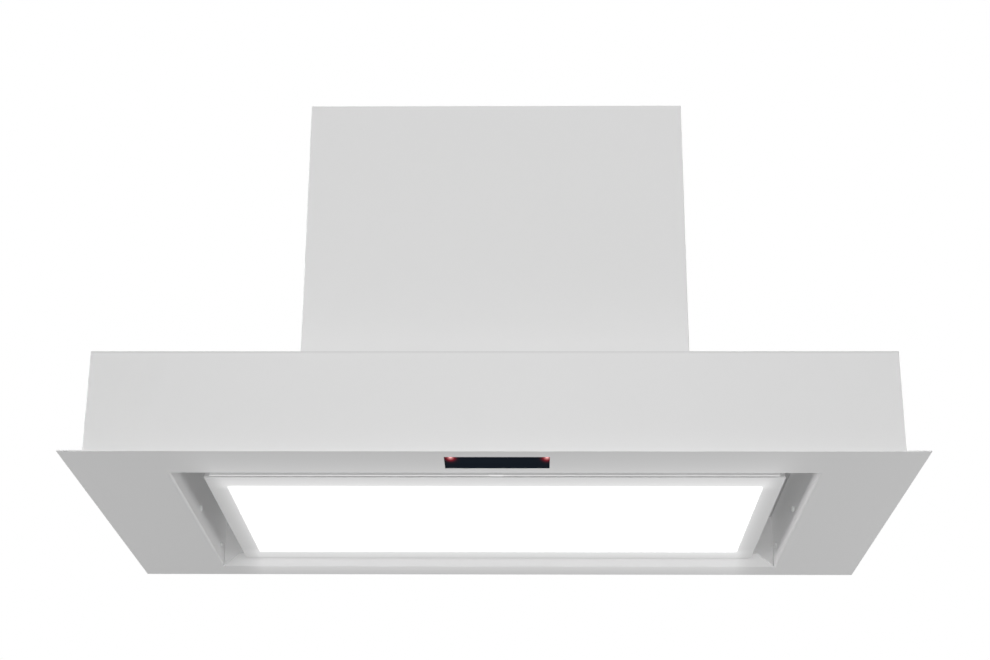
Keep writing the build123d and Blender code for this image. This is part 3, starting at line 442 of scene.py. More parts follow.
def tinted_glass():
    """The dark control window, with a painted red glow of its two indicators in the corners: emission on the
    glass.
    """
    control = hood().control
    finish = Finish("tinted_glass")
    point, (x, y, _) = finish.place()
    distance, radius = from_lens(x, y, control.glow_stretch)
    reach = distance / control.glow_reach
    red = (-(reach * reach)).exp()
    core = (1.7 - distance / radius).at_least(0.0).at_most(1.0)
    clouds = finish.noise(point, 30.0)
    glow = finish.between(tuple(control.glow), tuple(control.glow_core), core)
    return finish.close(
        Base_Color=finish.shades(control.glass, 0.85, 1.15, clouds),
        Roughness=0.12 + 0.05 * clouds,
        Specular_IOR_Level=0.001,
        Emission_Color=finish.scaled(glow, red),
        Emission_Strength=control.glow_strength,
    )


def lit_lens():
    """A lit red lens, brighter at its middle."""
    control = hood().control
    finish = Finish("red_lens_lit")
    _, (x, y, _) = finish.place()
    distance, radius = from_lens(x, y)
    core = (1.0 - distance / radius).at_least(0.0).at_most(1.0)
    return finish.close(
        Base_Color=(0.5, 0.02, 0.03),
        Roughness=0.2,
        Emission_Color=finish.between((0.45, 0.02, 0.03), (1.0, 0.62, 0.6), core),
        Emission_Strength=control.lens_strength,
    )


# ---------------------------------------------------------------- settings


class HoodCoat(bpy.types.PropertyGroup):
    """The white powder coat."""

    colour: FloatVectorProperty(
        name="Colour",
        description="Colour of the powder coat",
        subtype="COLOR",
        min=0.0,
        max=1.0,
        default=(0.74, 0.74, 0.74),
    )
    roughness: FloatProperty(
        name="Roughness",
        description="Gloss of the satin coat",
        default=0.45,
        min=0.1,
        max=0.9,
        subtype="FACTOR",
    )
    cloud_scale: FloatProperty(
        name="Clouds", description="Fineness of the coat's faint clouds, per metre", default=3.0, min=0.1
    )
    peel_scale: FloatProperty(
        name="Peel", description="Fineness of the coat's peel, per metre", default=900.0, min=1.0
    )
    peel_depth: FloatProperty(
        name="Peel depth",
        description="Depth of the coat's peel",
        default=0.02 * MM,
        unit="LENGTH",
        precision=6,
    )
    # Painted shade along the casing's top fold, where the motor box stands on it
    fold_width: FloatProperty(
        name="Fold's width",
        description="Width of the casing's darker top fold",
        default=3 * MM,
        unit="LENGTH",
    )
    fold_shade: FloatProperty(
        name="Fold's shade",
        description="How much darker the casing's top fold is",
        default=0.16,
        min=0.0,
        max=1.0,
        subtype="FACTOR",
    )


class HoodLight(bpy.types.PropertyGroup):
    """The lit panel."""

    colour: FloatVectorProperty(
        name="Colour",
        description="Colour of the panel's light",
        subtype="COLOR",
        min=0.0,
        max=1.0,
        default=(1.0, 1.0, 1.0),
    )
    strength: FloatProperty(name="Strength", description="Brightness of the diffuser", default=1.6, min=0.0)
    edge_width: FloatProperty(
        name="Edge width", description="Width of the diffuser's softer edge", default=2.5 * MM, unit="LENGTH"
    )
    edge_share: FloatProperty(
        name="Edge share",
        description="Brightness at the diffuser's edge",
        default=0.5,
        min=0.0,
        max=1.0,
        subtype="FACTOR",
    )
    # Painted glow: emission on the frame and the plate beside the lit window, fading with the distance
    halo_frame: FloatProperty(
        name="Frame's glow", description="Glow on the panel's frame beside the window", default=0.23, min=0.0
    )
    halo_plate: FloatProperty(
        name="Plate's glow", description="Glow on the bottom plate beside the window", default=0.37, min=0.0
    )
    halo_side: FloatProperty(
        name="Glow's width", description="Reach of the glow to the sides", default=10 * MM, unit="LENGTH"
    )
    halo_depth: FloatProperty(
        name="Glow's depth",
        description="Reach of the glow to the front and back",
        default=44 * MM,
        unit="LENGTH",
    )
    halo_ends: FloatProperty(
        name="Glow at the ends",
        description="Added share of glow at the front and back",
        default=0.55,
        min=0.0,
    )
    halo_blend: FloatProperty(
        name="Glow's blend",
        description="Length over which the added glow comes in",
        default=15 * MM,
        unit="LENGTH",
    )
    # Painted spill: emission on the forward faces of the trim, its tab and the frame's edge, with a painted
    # bright strip on the trim
    spill: FloatProperty(
        name="Spilled light", description="The panel's light on its own front trim", default=0.2, min=0.0
    )
    spill_frame: FloatProperty(
        name="Frame's spilled light", description="The same on the face frame's edge", default=0.09, min=0.0
    )
    strip_share: FloatProperty(
        name="Strip's share", description="Added share of light on the trim's strip", default=3.2, min=0.0
    )
    strip_top: FloatProperty(
        name="Strip's top", description="Top of the trim's bright strip", default=7.3 * MM, unit="LENGTH"
    )
    strip_foot: FloatProperty(
        name="Strip's foot", description="Foot of the trim's bright strip", default=6.5 * MM, unit="LENGTH"
    )
    # Painted leak: emission on the cavity's faces, the plate and the screws, growing with the height
    leak: FloatProperty(
        name="Leaked light", description="Light that leaks round the panel", default=0.12, min=0.0
    )
    leak_depth: FloatProperty(
        name="Leak's depth",
        description="Height at which most leaked light falls",
        default=15 * MM,
        unit="LENGTH",
    )


class HoodControl(bpy.types.PropertyGroup):
    """The control window."""

    glass: FloatVectorProperty(
        name="Glass",
        description="Colour of the dark glass",
        subtype="COLOR",
        min=0.0,
        max=1.0,
        default=(0.005, 0.0106, 0.02),
    )
    # Painted glow: emission in the glass round the indicators
    glow: FloatVectorProperty(
        name="Glow",
        description="Colour of the indicators' light in the glass",
        subtype="COLOR",
        min=0.0,
        max=1.0,
        default=(1.0, 0.02, 0.05),
    )
    glow_core: FloatVectorProperty(
        name="Glow core",
        description="Colour of the glow beside the indicators",
        subtype="COLOR",
        min=0.0,
        max=1.0,
        default=(1.0, 0.4, 0.38),
    )
    glow_strength: FloatProperty(
        name="Glow strength",
        description="Brightness of the glow",
        default=0.6,
        min=0.0,
    )
    glow_reach: FloatProperty(
        name="Glow reach",
        description="How far the glow spreads in the glass",
        default=4.0 * MM,
        unit="LENGTH",
    )
    glow_stretch: FloatProperty(
        name="Glow stretch", description="Shortening of the distance towards the back", default=0.2, min=0.0
    )
    lens_strength: FloatProperty(
        name="Lens strength", description="Brightness of the two lenses", default=0.9, min=0.0
    )
    left_inset: FloatProperty(
        name="Left inset",
        description="Left lens from the window's left edge",
        default=6.8 * MM,
        unit="LENGTH",
    )
    right_inset: FloatProperty(
        name="Right inset",
        description="Right lens from the window's right edge",
        default=3.0 * MM,
        unit="LENGTH",
    )
    overlap: FloatProperty(
        name="Overlap",
        description="Width of the pane behind the window's edges",
        default=4 * MM,
        unit="LENGTH",
    )
    front_overlap: FloatProperty(
        name="Front overlap", description="The same at the front edge", default=2 * MM, unit="LENGTH"
    )


class HoodTab(bpy.types.PropertyGroup):
    """The light panel's finger tab."""

    foot: FloatProperty(
        name="Foot",
        description="Height of the tab's lower edge",
        default=5.2 * MM,
        unit="LENGTH",
    )
    corner: FloatProperty(
        name="Corner", description="Radius of the tab's corners", default=3.0 * MM, unit="LENGTH"
    )
    hole: FloatProperty(name="Hole", description="Radius of the tab's hole", default=1.2 * MM, unit="LENGTH")
    hole_height: FloatProperty(
        name="Hole height", description="Height of the tab's hole", default=8.7 * MM, unit="LENGTH"
    )


class HoodMetal(bpy.types.PropertyGroup):
    """The bare metals and the grease filters' mesh."""

    zinc: FloatVectorProperty(
        name="Zinc",
        description="Colour of the zinc-coated sheets",
        subtype="COLOR",
        min=0.0,
        max=1.0,
        default=(0.58, 0.59, 0.6),
    )
    aluminium: FloatVectorProperty(
        name="Aluminium",
        description="Colour of the aluminium",
        subtype="COLOR",
        min=0.0,
        max=1.0,
        default=(0.66, 0.67, 0.68),
    )
    steel: FloatVectorProperty(
        name="Steel",
        description="Colour of the bright steel",
        subtype="COLOR",
        min=0.0,
        max=1.0,
        default=(0.62, 0.62, 0.62),
    )
    spangle_scale: FloatProperty(
        name="Spangle", description="Fineness of the zinc's crystals, per metre", default=90.0, min=1.0
    )
    mesh_length: FloatProperty(
        name="Diamond length", description="Long way of the mesh's diamonds", default=10 * MM, unit="LENGTH"
    )
    mesh_width: FloatProperty(
        name="Diamond width", description="Short way of the mesh's diamonds", default=6 * MM, unit="LENGTH"
    )
    strand: FloatProperty(
        name="Strand", description="Width of the mesh's strands", default=1.3 * MM, unit="LENGTH"
    )
    gauge: FloatProperty(
        name="Gauge", description="Thickness of the mesh's strands", default=0.5 * MM, unit="LENGTH"
    )
    wave_pitch: FloatProperty(
        name="Wave pitch",
        description="Distance between the mesh's crimped waves",
        default=22 * MM,
        unit="LENGTH",
    )
    wave_height: FloatProperty(
        name="Wave height", description="Height of the mesh's crimped waves", default=4.4 * MM, unit="LENGTH"
    )


class HoodPlastic(bpy.types.PropertyGroup):
    """The plastics, the rubber and the gland."""

    grey: FloatVectorProperty(
        name="Grey",
        description="Colour of the outlet's plastic",
        subtype="COLOR",
        min=0.0,
        max=1.0,
        default=(0.22, 0.23, 0.24),
    )
    white: FloatVectorProperty(
        name="White",
        description="Colour of the electric boxes",
        subtype="COLOR",
        min=0.0,
        max=1.0,
        default=(0.75, 0.75, 0.73),
    )
    black: FloatVectorProperty(
        name="Black",
        description="Colour of the gland and the filters' latches",
        subtype="COLOR",
        min=0.0,
        max=1.0,
        default=(0.03, 0.03, 0.032),
    )
    gland_ribs: IntProperty(name="Ribs", description="Grip ribs round the gland's cap", default=18, min=3)
    rib_depth: FloatProperty(
        name="Rib depth", description="Depth of the gland's grip ribs", default=0.5 * MM, unit="LENGTH"
    )


class HoodStage(bpy.types.PropertyGroup):
    """The studio."""

    floor_height: FloatProperty(name="Floor", description="Height of the floor", default=-4.2, unit="LENGTH")
    floor_tone: FloatProperty(
        name="Floor tone",
        description="Tone of the pale floor",
        default=0.8,
        min=0.0,
        max=1.0,
        subtype="FACTOR",
    )
    floor_bounce: FloatProperty(
        name="Floor bounce",
        description="Share of light that the floor throws back at the hood",
        default=0.35,
        min=0.0,
        max=1.0,
        subtype="FACTOR",
    )
    floor_light: FloatProperty(
        name="Floor light",
        description="Light added to the floor near the hood",
        default=0.5,
        min=0.0,
        max=1.0,
    )
    floor_return: FloatProperty(
        name="Floor return",
        description="Light that the floor gives to the hood",
        default=0.14,
        min=0.0,
        max=1.0,
    )
    ambient: FloatProperty(name="Ambient", description="Light from all round", default=0.24, min=0.0)
    front: FloatProperty(
        name="Front lamp", description="Power of the low front lamp", default=24.3, unit="POWER"
    )
    upper: FloatProperty(
        name="Upper lamp", description="Power of the high front lamp", default=5.8, unit="POWER"
    )
    right: FloatProperty(
        name="Right lamp", description="Power of the low right lamp", default=20.0, unit="POWER"
    )
    left: FloatProperty(
        name="Left lamp", description="Power of the grazing left lamp", default=23.5, unit="POWER"
    )
    behind: FloatProperty(
        name="Back lamps", description="Power of each lamp behind", default=30.0, unit="POWER"
    )
    top: FloatProperty(name="Top lamp", description="Power of the lamp above", default=30.0, unit="POWER")


class HoodSettings(bpy.types.PropertyGroup):
    """Everything that a user may change."""

    coat: PointerProperty(type=HoodCoat)
    light: PointerProperty(type=HoodLight)
    control: PointerProperty(type=HoodControl)
    tab: PointerProperty(type=HoodTab)
    metal: PointerProperty(type=HoodMetal)
    plastic: PointerProperty(type=HoodPlastic)
    stage: PointerProperty(type=HoodStage)


# ---------------------------------------------------------------- shapes


def new_piece(name, shape, material, slot, *replaced, body="root"):
    """An object from a bmesh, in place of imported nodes, on one of the hood's bodies."""
    mesh = bpy.data.meshes.new(name)
    shape.to_mesh(mesh)
    shape.free()
    mesh.materials.append(material)
    piece = bpy.data.objects.new(name, mesh)
    bpy.context.scene.collection.objects.link(piece)
    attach(piece, body)
    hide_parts(*replaced)
    return piece


def rings_joined(shape, rings):
    """Faces between rings of vertices, each ring joined to the next."""
    for lower, upper in zip(rings, rings[1:]):
        for step in range(len(lower)):
            following = (step + 1) % len(lower)
            shape.faces.new((lower[step], lower[following], upper[following], upper[step]))


def turned(shape, outline, count):
    """A turned form about Z from (radius, height) pairs, closed by a flat face at both ends."""
    rings = []
    for radius, height in outline:
        turns = [2 * math.pi * step / count for step in range(count)]
        rings.append([shape.verts.new((radius * math.cos(a), radius * math.sin(a), height)) for a in turns])
    rings_joined(shape, rings)
    shape.faces.new(list(reversed(rings[0])))
    shape.faces.new(rings[-1])
    return shape


def cross_cutter():
    """A tapered cross that cuts a screw's recess."""
    shape = bmesh.new()
    arm, half = CROSS_ARM, CROSS_HALF
    corners = [(arm, half), (half, half), (half, arm), (-half, arm), (-half, half), (-arm, half)]
    corners += [(-x, -y) for x, y in corners]
    rings = []
    for height, shrink in CROSS_ENDS:
        rings.append([shape.verts.new((x * shrink, y * shrink, height)) for x, y in corners])
    rings_joined(shape, rings)
    shape.faces.new(list(reversed(rings[0])))
    shape.faces.new(rings[1])
    return shape


def screw_form():
    """One pan-head screw along Z with its head's seat at the origin, as a mesh."""
    outline = list(SCREW_POINT)
    for turn in range(THREADS):
        foot = THREAD_START + THREAD_PITCH * turn
        crest, end = foot + THREAD_RISE, foot + THREAD_WIDTH
        outline += [(THREAD_ROOT, foot), (THREAD_CREST, crest), (THREAD_ROOT, end)]
    outline += SCREW_NECK + SCREW_HEAD
    body = bmesh.new()
    turned(body, [(radius * MM, height * MM) for radius, height in outline], ROUND)
    parts = []
    for name, shape in (("screw_body", body), ("screw_cross", cross_cutter())):
        bmesh.ops.recalc_face_normals(shape, faces=shape.faces)
        mesh = bpy.data.meshes.new(name)
        shape.to_mesh(mesh)
        shape.free()
        part = bpy.data.objects.new(name, mesh)
        bpy.context.scene.collection.objects.link(part)
        parts.append(part)
    cut = parts[0].modifiers.new("recess", "BOOLEAN")
    cut.object = parts[1]
    ready = parts[0].evaluated_get(bpy.context.evaluated_depsgraph_get())
    form = bpy.data.meshes.new_from_object(ready)
    for part in parts:
        bpy.data.objects.remove(part)
    return form


def screws(form, places):
    """A bmesh with one screw at each place, each turned a little differently."""
    shape = bmesh.new()
    for number, (seat, way) in enumerate(places):
        before = len(shape.verts)
        shape.from_mesh(form)
        shape.verts.ensure_lookup_table()
        spin = Matrix.Rotation(SCREW_TURN * number, 4, "Z")
        turn = Vector(way).to_track_quat("Z", "Y").to_matrix().to_4x4()
        move = Matrix.Translation(seat) @ turn @ spin
        bmesh.ops.transform(shape, matrix=move, verts=shape.verts[before:])
    return shape


def gland_ring(shape, height, radius, form, ribs, depth, count):
    """One ring of the gland's outline."""
    ring = []
    for step in range(count):
        angle = 2 * math.pi * step / count
        reach = radius
        if form == "hexagon":
            sixth = math.pi / 3
            reach = radius * math.cos(sixth / 2) / math.cos(angle % sixth - sixth / 2)
        if form == "ribbed":
            reach = radius - depth * (0.5 - 0.5 * math.cos(ribs * angle))
        x = GLAND_AXIS[0] + reach * math.cos(angle)
        y = GLAND_AXIS[1] + reach * math.sin(angle)
        ring.append(shape.verts.new((x, y, height)))
    return ring


def sheet_ring(shape, left, right, front, back, height, corner):
    """A ring of vertices round a rectangle with rounded corners."""
    ring = []
    middles = [(right, back, 0), (left, back, 1), (left, front, 2), (right, front, 3)]
    for x, y, quarter in middles:
        x += -corner if x == right else corner
        y += -corner if y == back else corner
        for step in range(CORNER_STEPS + 1):
            angle = math.pi / 2 * (quarter + step / CORNER_STEPS)
            ring.append(shape.verts.new((x + corner * math.cos(angle), y + corner * math.sin(angle), height)))
    return ring


def rounded_tab(low, high):
    """The panel's finger tab: a plate with rounded corners and a round hole, rolled a little at its edges."""
    tab = hood().tab
    middle = (low.x + high.x) / 2
    corners = (low.x - middle, high.x - middle, tab.foot - tab.hole_height, high.z - tab.hole_height)
    shape = bmesh.new()
    rings = []
    for share, depth in TAB_SECTION:
        y = low.y + (high.y - low.y) * depth
        edge = (1.0 - share) * TAB_ROLL
        outer = (corners[0] + edge, corners[1] - edge, corners[2] + edge, corners[3] - edge)
        rings.append([(y, corner) for corner in sheet_ring(shape, *outer, 0.0, tab.corner)])
    # The hole's vertices stand at the angles of the corners' ones, so that the rings join one to one
    steps = [quarter + step / CORNER_STEPS for quarter in range(4) for step in range(CORNER_STEPS + 1)]
    angles = [math.pi / 2 * step for step in steps]
    hole = [
        [shape.verts.new((tab.hole * math.cos(angle), tab.hole * math.sin(angle), 0.0)) for angle in angles]
        for _ in range(2)
    ]
    rings = [[(low.y, vert) for vert in hole[0]]] + rings + [[(high.y, vert) for vert in hole[1]]]
    for ring in rings:
        for y, vert in ring:
            vert.co = (vert.co.x + middle, y, vert.co.y + tab.hole_height)
    rings_joined(shape, [[vert for _, vert in ring] for ring in rings + rings[:1]])
    bmesh.ops.remove_doubles(shape, verts=shape.verts, dist=0.001 * MM)
    bmesh.ops.recalc_face_normals(shape, faces=shape.faces)
    return shape


def lens_domes(low, high):
    """Two small domes that stand a little proud of the pane's face."""
    radius = (high.y - low.y) / 2
    shape = bmesh.new()
    for x in lens_places():
        before = len(shape.verts)
        turned(shape, [(radius * share, (high.z - low.z) * height) for share, height in LENS_OUTLINE], ROUND)
        shape.verts.ensure_lookup_table()
        bmesh.ops.translate(shape, verts=shape.verts[before:], vec=(x, (low.y + high.y) / 2, low.z))
    bmesh.ops.recalc_face_normals(shape, faces=shape.faces)
    return shape


def stepped_pane(low, high):
    """A pane behind the plate whose face steps forward into the plate's window."""
    control = hood().control
    left, front = low.x + control.overlap, low.y + control.front_overlap
    right, back = high.x - control.overlap, high.y - control.overlap
    shape = bmesh.new()
    rings = []
    for edge, height in PANE_STEP:
        corners = (left + edge, right - edge, front + edge, back - edge)
        rings.append(sheet_ring(shape, *corners, low.z + height, PANE_STEP_CORNER))
    bevel = PANE_BEVEL
    for edge, height in ((bevel, low.z), (0.0, low.z + bevel), (0.0, high.z - bevel), (bevel, high.z)):
        corners = (low.x + edge, high.x - edge, low.y + edge, high.y - edge)
        rings.append(sheet_ring(shape, *corners, height, PANE_CORNER))
    rings_joined(shape, rings)
    shape.faces.new(list(reversed(rings[0])))
    shape.faces.new(rings[-1])
    return shape


def expanded_mesh(low, high):
    """A crimped sheet of expanded metal between two corners: zigzag strands that meet at their knuckles."""
    metal = hood().metal
    columns = 2 * round((high.x - low.x) / metal.mesh_length)
    rows = 2 * round((high.y - low.y) / metal.mesh_width)
    step_x = (high.x - low.x) / columns
    step_y = (high.y - low.y) / (rows + 1)
    rise = (high.z - low.z - metal.wave_height - metal.gauge) / 2
    middle = low.z + rise + metal.gauge / 2 + metal.wave_height / 2
    shape = bmesh.new()
    for row in range(rows):
        centre = low.y + step_y * (row + 1)
        strand = []
        for column in range(columns + 1):
            side = 1 if (row + column) % 2 else -1
            x = low.x + step_x * column
            y = centre + side * (step_y - metal.strand) / 2
            ends = []
            for edge in (-0.5, 0.5):
                across = y + edge * metal.strand
                wave = math.cos(2 * math.pi * (across - low.y) / metal.wave_pitch)
                tilt = edge * side * metal.gauge
                ends.append(shape.verts.new((x, across, middle + wave * metal.wave_height / 2 + tilt)))
            strand.append(ends)
        for (near, far), (next_near, next_far) in zip(strand, strand[1:]):
            shape.faces.new((near, next_near, next_far, far))
    return shape


# ---------------------------------------------------------------- steps


class HOOD_OT_sheets(bpy.types.Operator):
    """Powder-coats the hood's sheets"""

    bl_idname = "hood.sheets"
    bl_label = "White sheets"

    def execute(self, context):
        light = hood().light
        plain = powder_coat("white_coat")
        # The casing's coat carries painted shade along its top fold
        dress(powder_coat("white_coat_casing", fold=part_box("casing_wrap")[1].z), "casing_wrap")
        dress(plain, "casing_back", "casing_top")
        dress(plain, "motor_box_wrap", "motor_box_back", "motor_box_top", "catch_brackets")
        # Painted light on the plate, the cavity, the frame and the trim: emission standing in for the panel's
        # glow, leak and spill
        dress(powder_coat("white_coat_plate", light.halo_plate, light.leak), "bottom_plate")
        dress(powder_coat("white_coat_cavity", 0.0, light.leak), "cavity_ceiling")
        dress(powder_coat("white_coat_frame", light.halo_frame, 0.0, light.spill_frame), "panel_frame")
        # The trim and its tab carry painted light, with a painted bright strip along the trim's foot
        trim = powder_coat("white_coat_trim", 0.0, 0.0, light.spill)
        dress(trim, "panel_trim")
        tab = rounded_tab(*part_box("finger_tab"))
        new_piece("rounded_tab", tab, trim, "white_coat", "finger_tab", body="light_panel")
        return {"FINISHED"}


class HOOD_OT_light(bpy.types.Operator):
    """Lights the panel and finishes the layers behind it"""

    bl_idname = "hood.light"
    bl_label = "Light panel"

    def execute(self, context):
        metal = hood().metal
        dress(lit_opal(), "light_diffuser")
        dress(moulded("clear_acrylic", (0.85, 0.9, 0.9), 0.12), "light_guide")
        dress(moulded("white_reflector", (0.85, 0.85, 0.84), 0.5), "light_reflector")
        rolled = drawn_metal("panel_aluminium", tuple(metal.aluminium), 0.55, (12.0, 900.0, 900.0))
        dress(rolled, "led_bars", "panel_back")
        return {"FINISHED"}


class HOOD_OT_controls(bpy.types.Operator):
    """Finishes the control window and what is behind it"""

    bl_idname = "hood.controls"
    bl_label = "Controls"

    def execute(self, context):
        pane = stepped_pane(*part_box("control_glass"))
        new_piece("stepped_pane", pane, tinted_glass(), "black_glass", "control_glass")
        domes = lens_domes(*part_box("indicator_lenses"))
        new_piece("lens_domes", domes, lit_lens(), "red_lens", "indicator_lenses")
        dress(moulded("black_housing", tuple(hood().plastic.black), 0.55), "control_housing")
        dress(moulded("solder_mask", (0.02, 0.12, 0.05), 0.35), "control_board")
        return {"FINISHED"}


class HOOD_OT_filters(bpy.types.Operator):
    """Weaves the grease filters' expanded metal and finishes their frames"""

    bl_idname = "hood.filters"
    bl_label = "Grease filters"

    def execute(self, context):
        metal = hood().metal
        colour = tuple(metal.aluminium)
        strands = drawn_metal("mesh_aluminium", colour, 0.3, (120.0, 120.0, 120.0))
        for side in ("left", "right"):
            node = "filter_mesh_" + side
            shape = expanded_mesh(*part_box(node))
            piece = new_piece("expanded_mesh_" + side, shape, strands, "filter_mesh", node)
            gauge = piece.modifiers.new("gauge", "SOLIDIFY")
            gauge.thickness = metal.gauge
            gauge.offset = 0.0
        rails = drawn_metal("frame_aluminium", colour, 0.36, (12.0, 500.0, 500.0))
        dress(rails, "filter_frame_left", "filter_frame_right")
        latches = moulded("latch_plastic", tuple(hood().plastic.black), 0.5)
        dress(latches, "filter_latch_left", "filter_latch_right")
        return {"FINISHED"}


class HOOD_OT_metals(bpy.types.Operator):
    """Finishes the blower's sheets, the shafts, the hinges and the motor"""

    bl_idname = "hood.metals"
    bl_label = "Blower and hinges"

    def execute(self, context):
        metal = hood().metal
        dress(
            zinc_sheet(),
            "scroll_wrap",
            "scroll_side_left",
            "scroll_side_right",
            "impeller",
            "motor_bracket",
            "filter_rails",
            "panel_stiffeners",
        )
        steel = drawn_metal("bright_steel", tuple(metal.steel), 0.3, (300.0, 300.0, 900.0))
        dress(steel, "motor_shaft", "impeller_nut", "flap_spindle", "wall_spacers")
        dress(steel, "hinge_brackets", "hinge_clips", "hinge_pins")
        dress(drawn_metal("magnet_nickel", (0.6, 0.6, 0.57), 0.2, (200.0, 200.0, 200.0)), "catch_magnets")
        dress(drawn_metal("can_aluminium", tuple(metal.aluminium), 0.28, (8.0, 700.0, 700.0)), "capacitor")
        dress(moulded("motor_paint", (0.05, 0.05, 0.055), 0.4, 0.05 * MM), "motor")
        return {"FINISHED"}


class HOOD_OT_screws(bpy.types.Operator):
    """Makes the pan-head screws with their cross recesses"""

    bl_idname = "hood.screws"
    bl_label = "Screws"

    def execute(self, context):
        form = screw_form()
        steel = drawn_metal("screw_steel", tuple(hood().metal.steel), 0.32, (600.0, 600.0, 600.0))
        # The cavity's screws carry the same painted leak light as the walls round them
        white = powder_coat("screw_coat", 0.0, hood().light.leak)
        new_piece("cavity_heads", screws(form, CAVITY_SCREWS), white, "steel", "cavity_screws")
        new_piece("casing_heads", screws(form, CASING_SCREWS), steel, "steel", "casing_screws")
        new_piece("motor_box_heads", screws(form, BOX_SCREWS), steel, "steel", "motor_box_screws")
        bpy.data.meshes.remove(form)
        return {"FINISHED"}


class HOOD_OT_plastics(bpy.types.Operator):
    """Finishes the outlet, the electric boxes and the rubber, and makes the cable gland"""

    bl_idname = "hood.plastics"
    bl_label = "Outlet and electrics"

    def execute(self, context):
        plastic = hood().plastic
        grey = moulded("grey_plastic", tuple(plastic.grey), 0.45)
        dress(grey, "outlet_adapter", "outlet_collar", "flap_left", "flap_right")
        white = moulded("white_plastic", tuple(plastic.white), 0.45)
        dress(white, "led_driver", "terminal_box", "terminal_block")
        dress(moulded("rubber", (0.02, 0.02, 0.02), 0.8), "motor_grommets")
        black = moulded("gland_plastic", tuple(plastic.black), 0.42)
        shape = bmesh.new()
        count = 8 * plastic.gland_ribs
        rings = [
            gland_ring(shape, height * MM, radius * MM, form, plastic.gland_ribs, plastic.rib_depth, count)
            for height, radius, form in GLAND_RINGS
        ]
        rings_joined(shape, rings)
        bmesh.ops.remove_doubles(shape, verts=shape.verts, dist=0.01 * MM)
        bmesh.ops.recalc_face_normals(shape, faces=shape.faces)
        new_piece("ribbed_gland", shape, black, "black_plastic", "cable_gland")
        return {"FINISHED"}


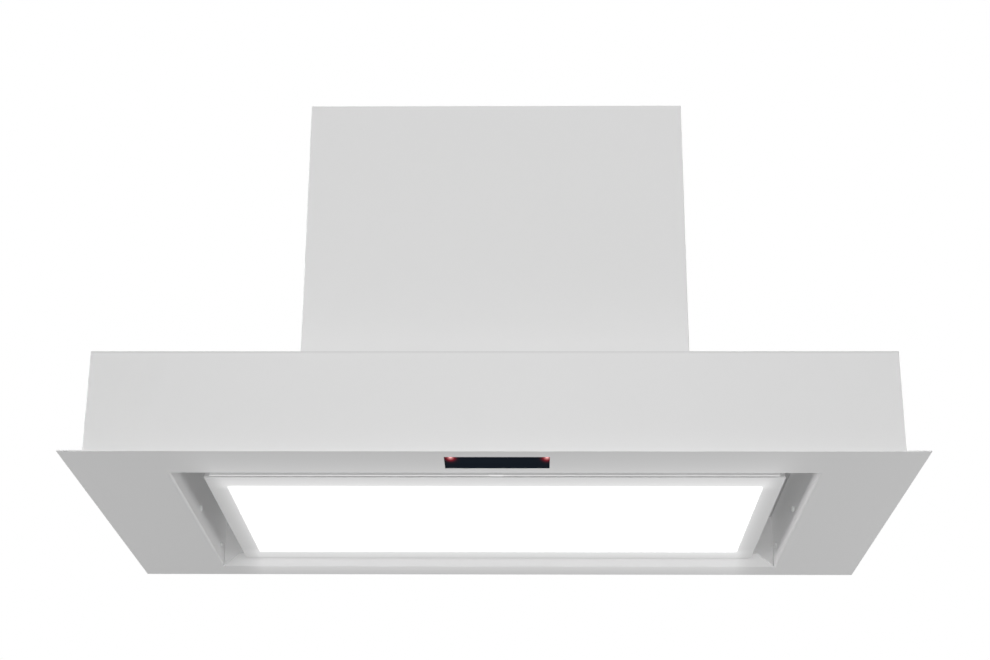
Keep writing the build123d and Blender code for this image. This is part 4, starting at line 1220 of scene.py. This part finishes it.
class HOOD_OT_stage(bpy.types.Operator):
    """Sets the floor, the lamps, the world and the camera"""

    bl_idname = "hood.stage"
    bl_label = "Studio"

    def execute(self, context):
        scene = context.scene
        stage = hood().stage
        self.floor(stage)
        self.world(scene, stage)
        low, middle = (0.0, 0.0, 0.0), (0.0, 0.1, 0.2)
        self.lamp("front_lamp", (0.0, -2.3, -0.3), low, (1.6, 0.35), stage.front)
        self.lamp("upper_lamp", (0.0, -1.5, 1.25), (0.0, 0.0, 0.3), (1.6, 0.8), stage.upper)
        self.lamp("right_lamp", (2.2, 0.0, -1.0), low, (1.0, 1.0), stage.right)
        self.lamp("left_lamp", (-2.2, 0.0, -0.35), low, (1.0, 0.7), stage.left)
        self.lamp("back_right_lamp", (2.2, 1.8, 0.9), middle, (1.4, 1.4), stage.behind)
        self.lamp("back_left_lamp", (-2.2, 1.8, 0.9), middle, (1.4, 1.4), stage.behind)
        self.lamp("top_lamp", (0.0, 0.3, 3.0), middle, (2.4, 2.4), stage.top)
        self.camera(scene)
        scene.view_settings.view_transform = "Standard"
        return {"FINISHED"}

    @staticmethod
    def floor(stage):
        """A pale floor that fades to plain white far out, low enough to leave the views from below free."""
        reach = FLOOR_REACH
        mesh = bpy.data.meshes.new("floor")
        corners = [(-reach, -reach, 0), (reach, -reach, 0), (reach, reach, 0), (-reach, reach, 0)]
        mesh.from_pydata(corners, [], [(0, 1, 2, 3)])
        floor = bpy.data.objects.new("floor", mesh)
        bpy.context.scene.collection.objects.link(floor)
        floor.location.z = stage.floor_height
        finish = Finish("pale_floor")
        _, (x, y, _) = finish.place()
        away = ((x * x + y * y) ** 0.5 - FADE_START) / FADE_LENGTH
        seen = finish.seen()
        fade = away.at_least(0.0).at_most(1.0) * seen
        light = fade.at_least(stage.floor_return + (stage.floor_light - stage.floor_return) * seen)
        tone = (stage.floor_bounce + (stage.floor_tone - stage.floor_bounce) * seen) * (1.0 - fade)
        mesh.materials.append(
            finish.close(
                Base_Color=finish.scaled((1.0, 1.0, 1.0), tone),
                Roughness=0.9,
                Specular_IOR_Level=0.0,
                Emission_Color=finish.scaled((1.0, 1.0, 1.0), light),
                Emission_Strength=1.0,
            )
        )

    @staticmethod
    def world(scene, stage):
        """Plain white to the eye, and a softer light on the hood."""
        world = bpy.data.worlds.new("studio")
        world.use_nodes = True
        scene.world = world
        nodes = Nodes(world.node_tree)
        colour = nodes.between((stage.ambient,) * 3, (1.0, 1.0, 1.0), nodes.seen())
        nodes.add("OutputWorld", None, {"Surface": nodes.add("Background", None, {"Color": colour})})

    @staticmethod
    def lamp(name, place, target, size, power):
        data = bpy.data.lights.new(name, "AREA")
        data.shape = "RECTANGLE"
        data.size, data.size_y = size
        data.energy = power
        lamp = bpy.data.objects.new(name, data)
        bpy.context.scene.collection.objects.link(lamp)
        lamp.location = place
        aim = Vector(target) - Vector(place)
        lamp.rotation_euler = aim.to_track_quat("-Z", "Y").to_euler()
        lamp.visible_camera = False

    @staticmethod
    def camera(scene):
        """The view from below the hood's front edge."""
        data = bpy.data.cameras.new("camera")
        data.lens = CAMERA_LENS
        camera = bpy.data.objects.new("camera", data)
        scene.collection.objects.link(camera)
        view = Matrix.Translation(CAMERA_PLACE)
        for angle, axis in CAMERA_TURNS:
            view @= Matrix.Rotation(math.radians(angle), 4, axis)
        camera.matrix_world = view
        scene.camera = camera


STEPS = (
    HOOD_OT_sheets,
    HOOD_OT_light,
    HOOD_OT_controls,
    HOOD_OT_filters,
    HOOD_OT_metals,
    HOOD_OT_screws,
    HOOD_OT_plastics,
    HOOD_OT_stage,
)
GROUPS = (HoodCoat, HoodLight, HoodControl, HoodTab, HoodMetal, HoodPlastic, HoodStage, HoodSettings)


class HOOD_PT_panel(bpy.types.Panel):
    """Lists the steps and the settings"""

    bl_idname = "HOOD_PT_panel"
    bl_label = "Range hood"
    bl_space_type = "VIEW_3D"
    bl_region_type = "UI"
    bl_category = "Hood"

    def draw(self, context):
        for step in STEPS:
            self.layout.operator(step.bl_idname)
        settings = context.scene.hood
        for group in ("coat", "light", "control", "tab", "metal", "plastic", "stage"):
            values = getattr(settings, group)
            box = self.layout.box()
            for name in type(values).__annotations__:
                box.prop(values, name)


def register():
    for item in (*GROUPS, *STEPS, HOOD_PT_panel):
        bpy.utils.register_class(item)
    bpy.types.Scene.hood = PointerProperty(type=HoodSettings)


def unregister():
    del bpy.types.Scene.hood
    for item in reversed((*GROUPS, *STEPS, HOOD_PT_panel)):
        bpy.utils.unregister_class(item)


def main():
    register()
    for step in STEPS:
        group, name = step.bl_idname.split(".")
        getattr(getattr(bpy.ops, group), name)()


if __name__ == "__main__":
    main()
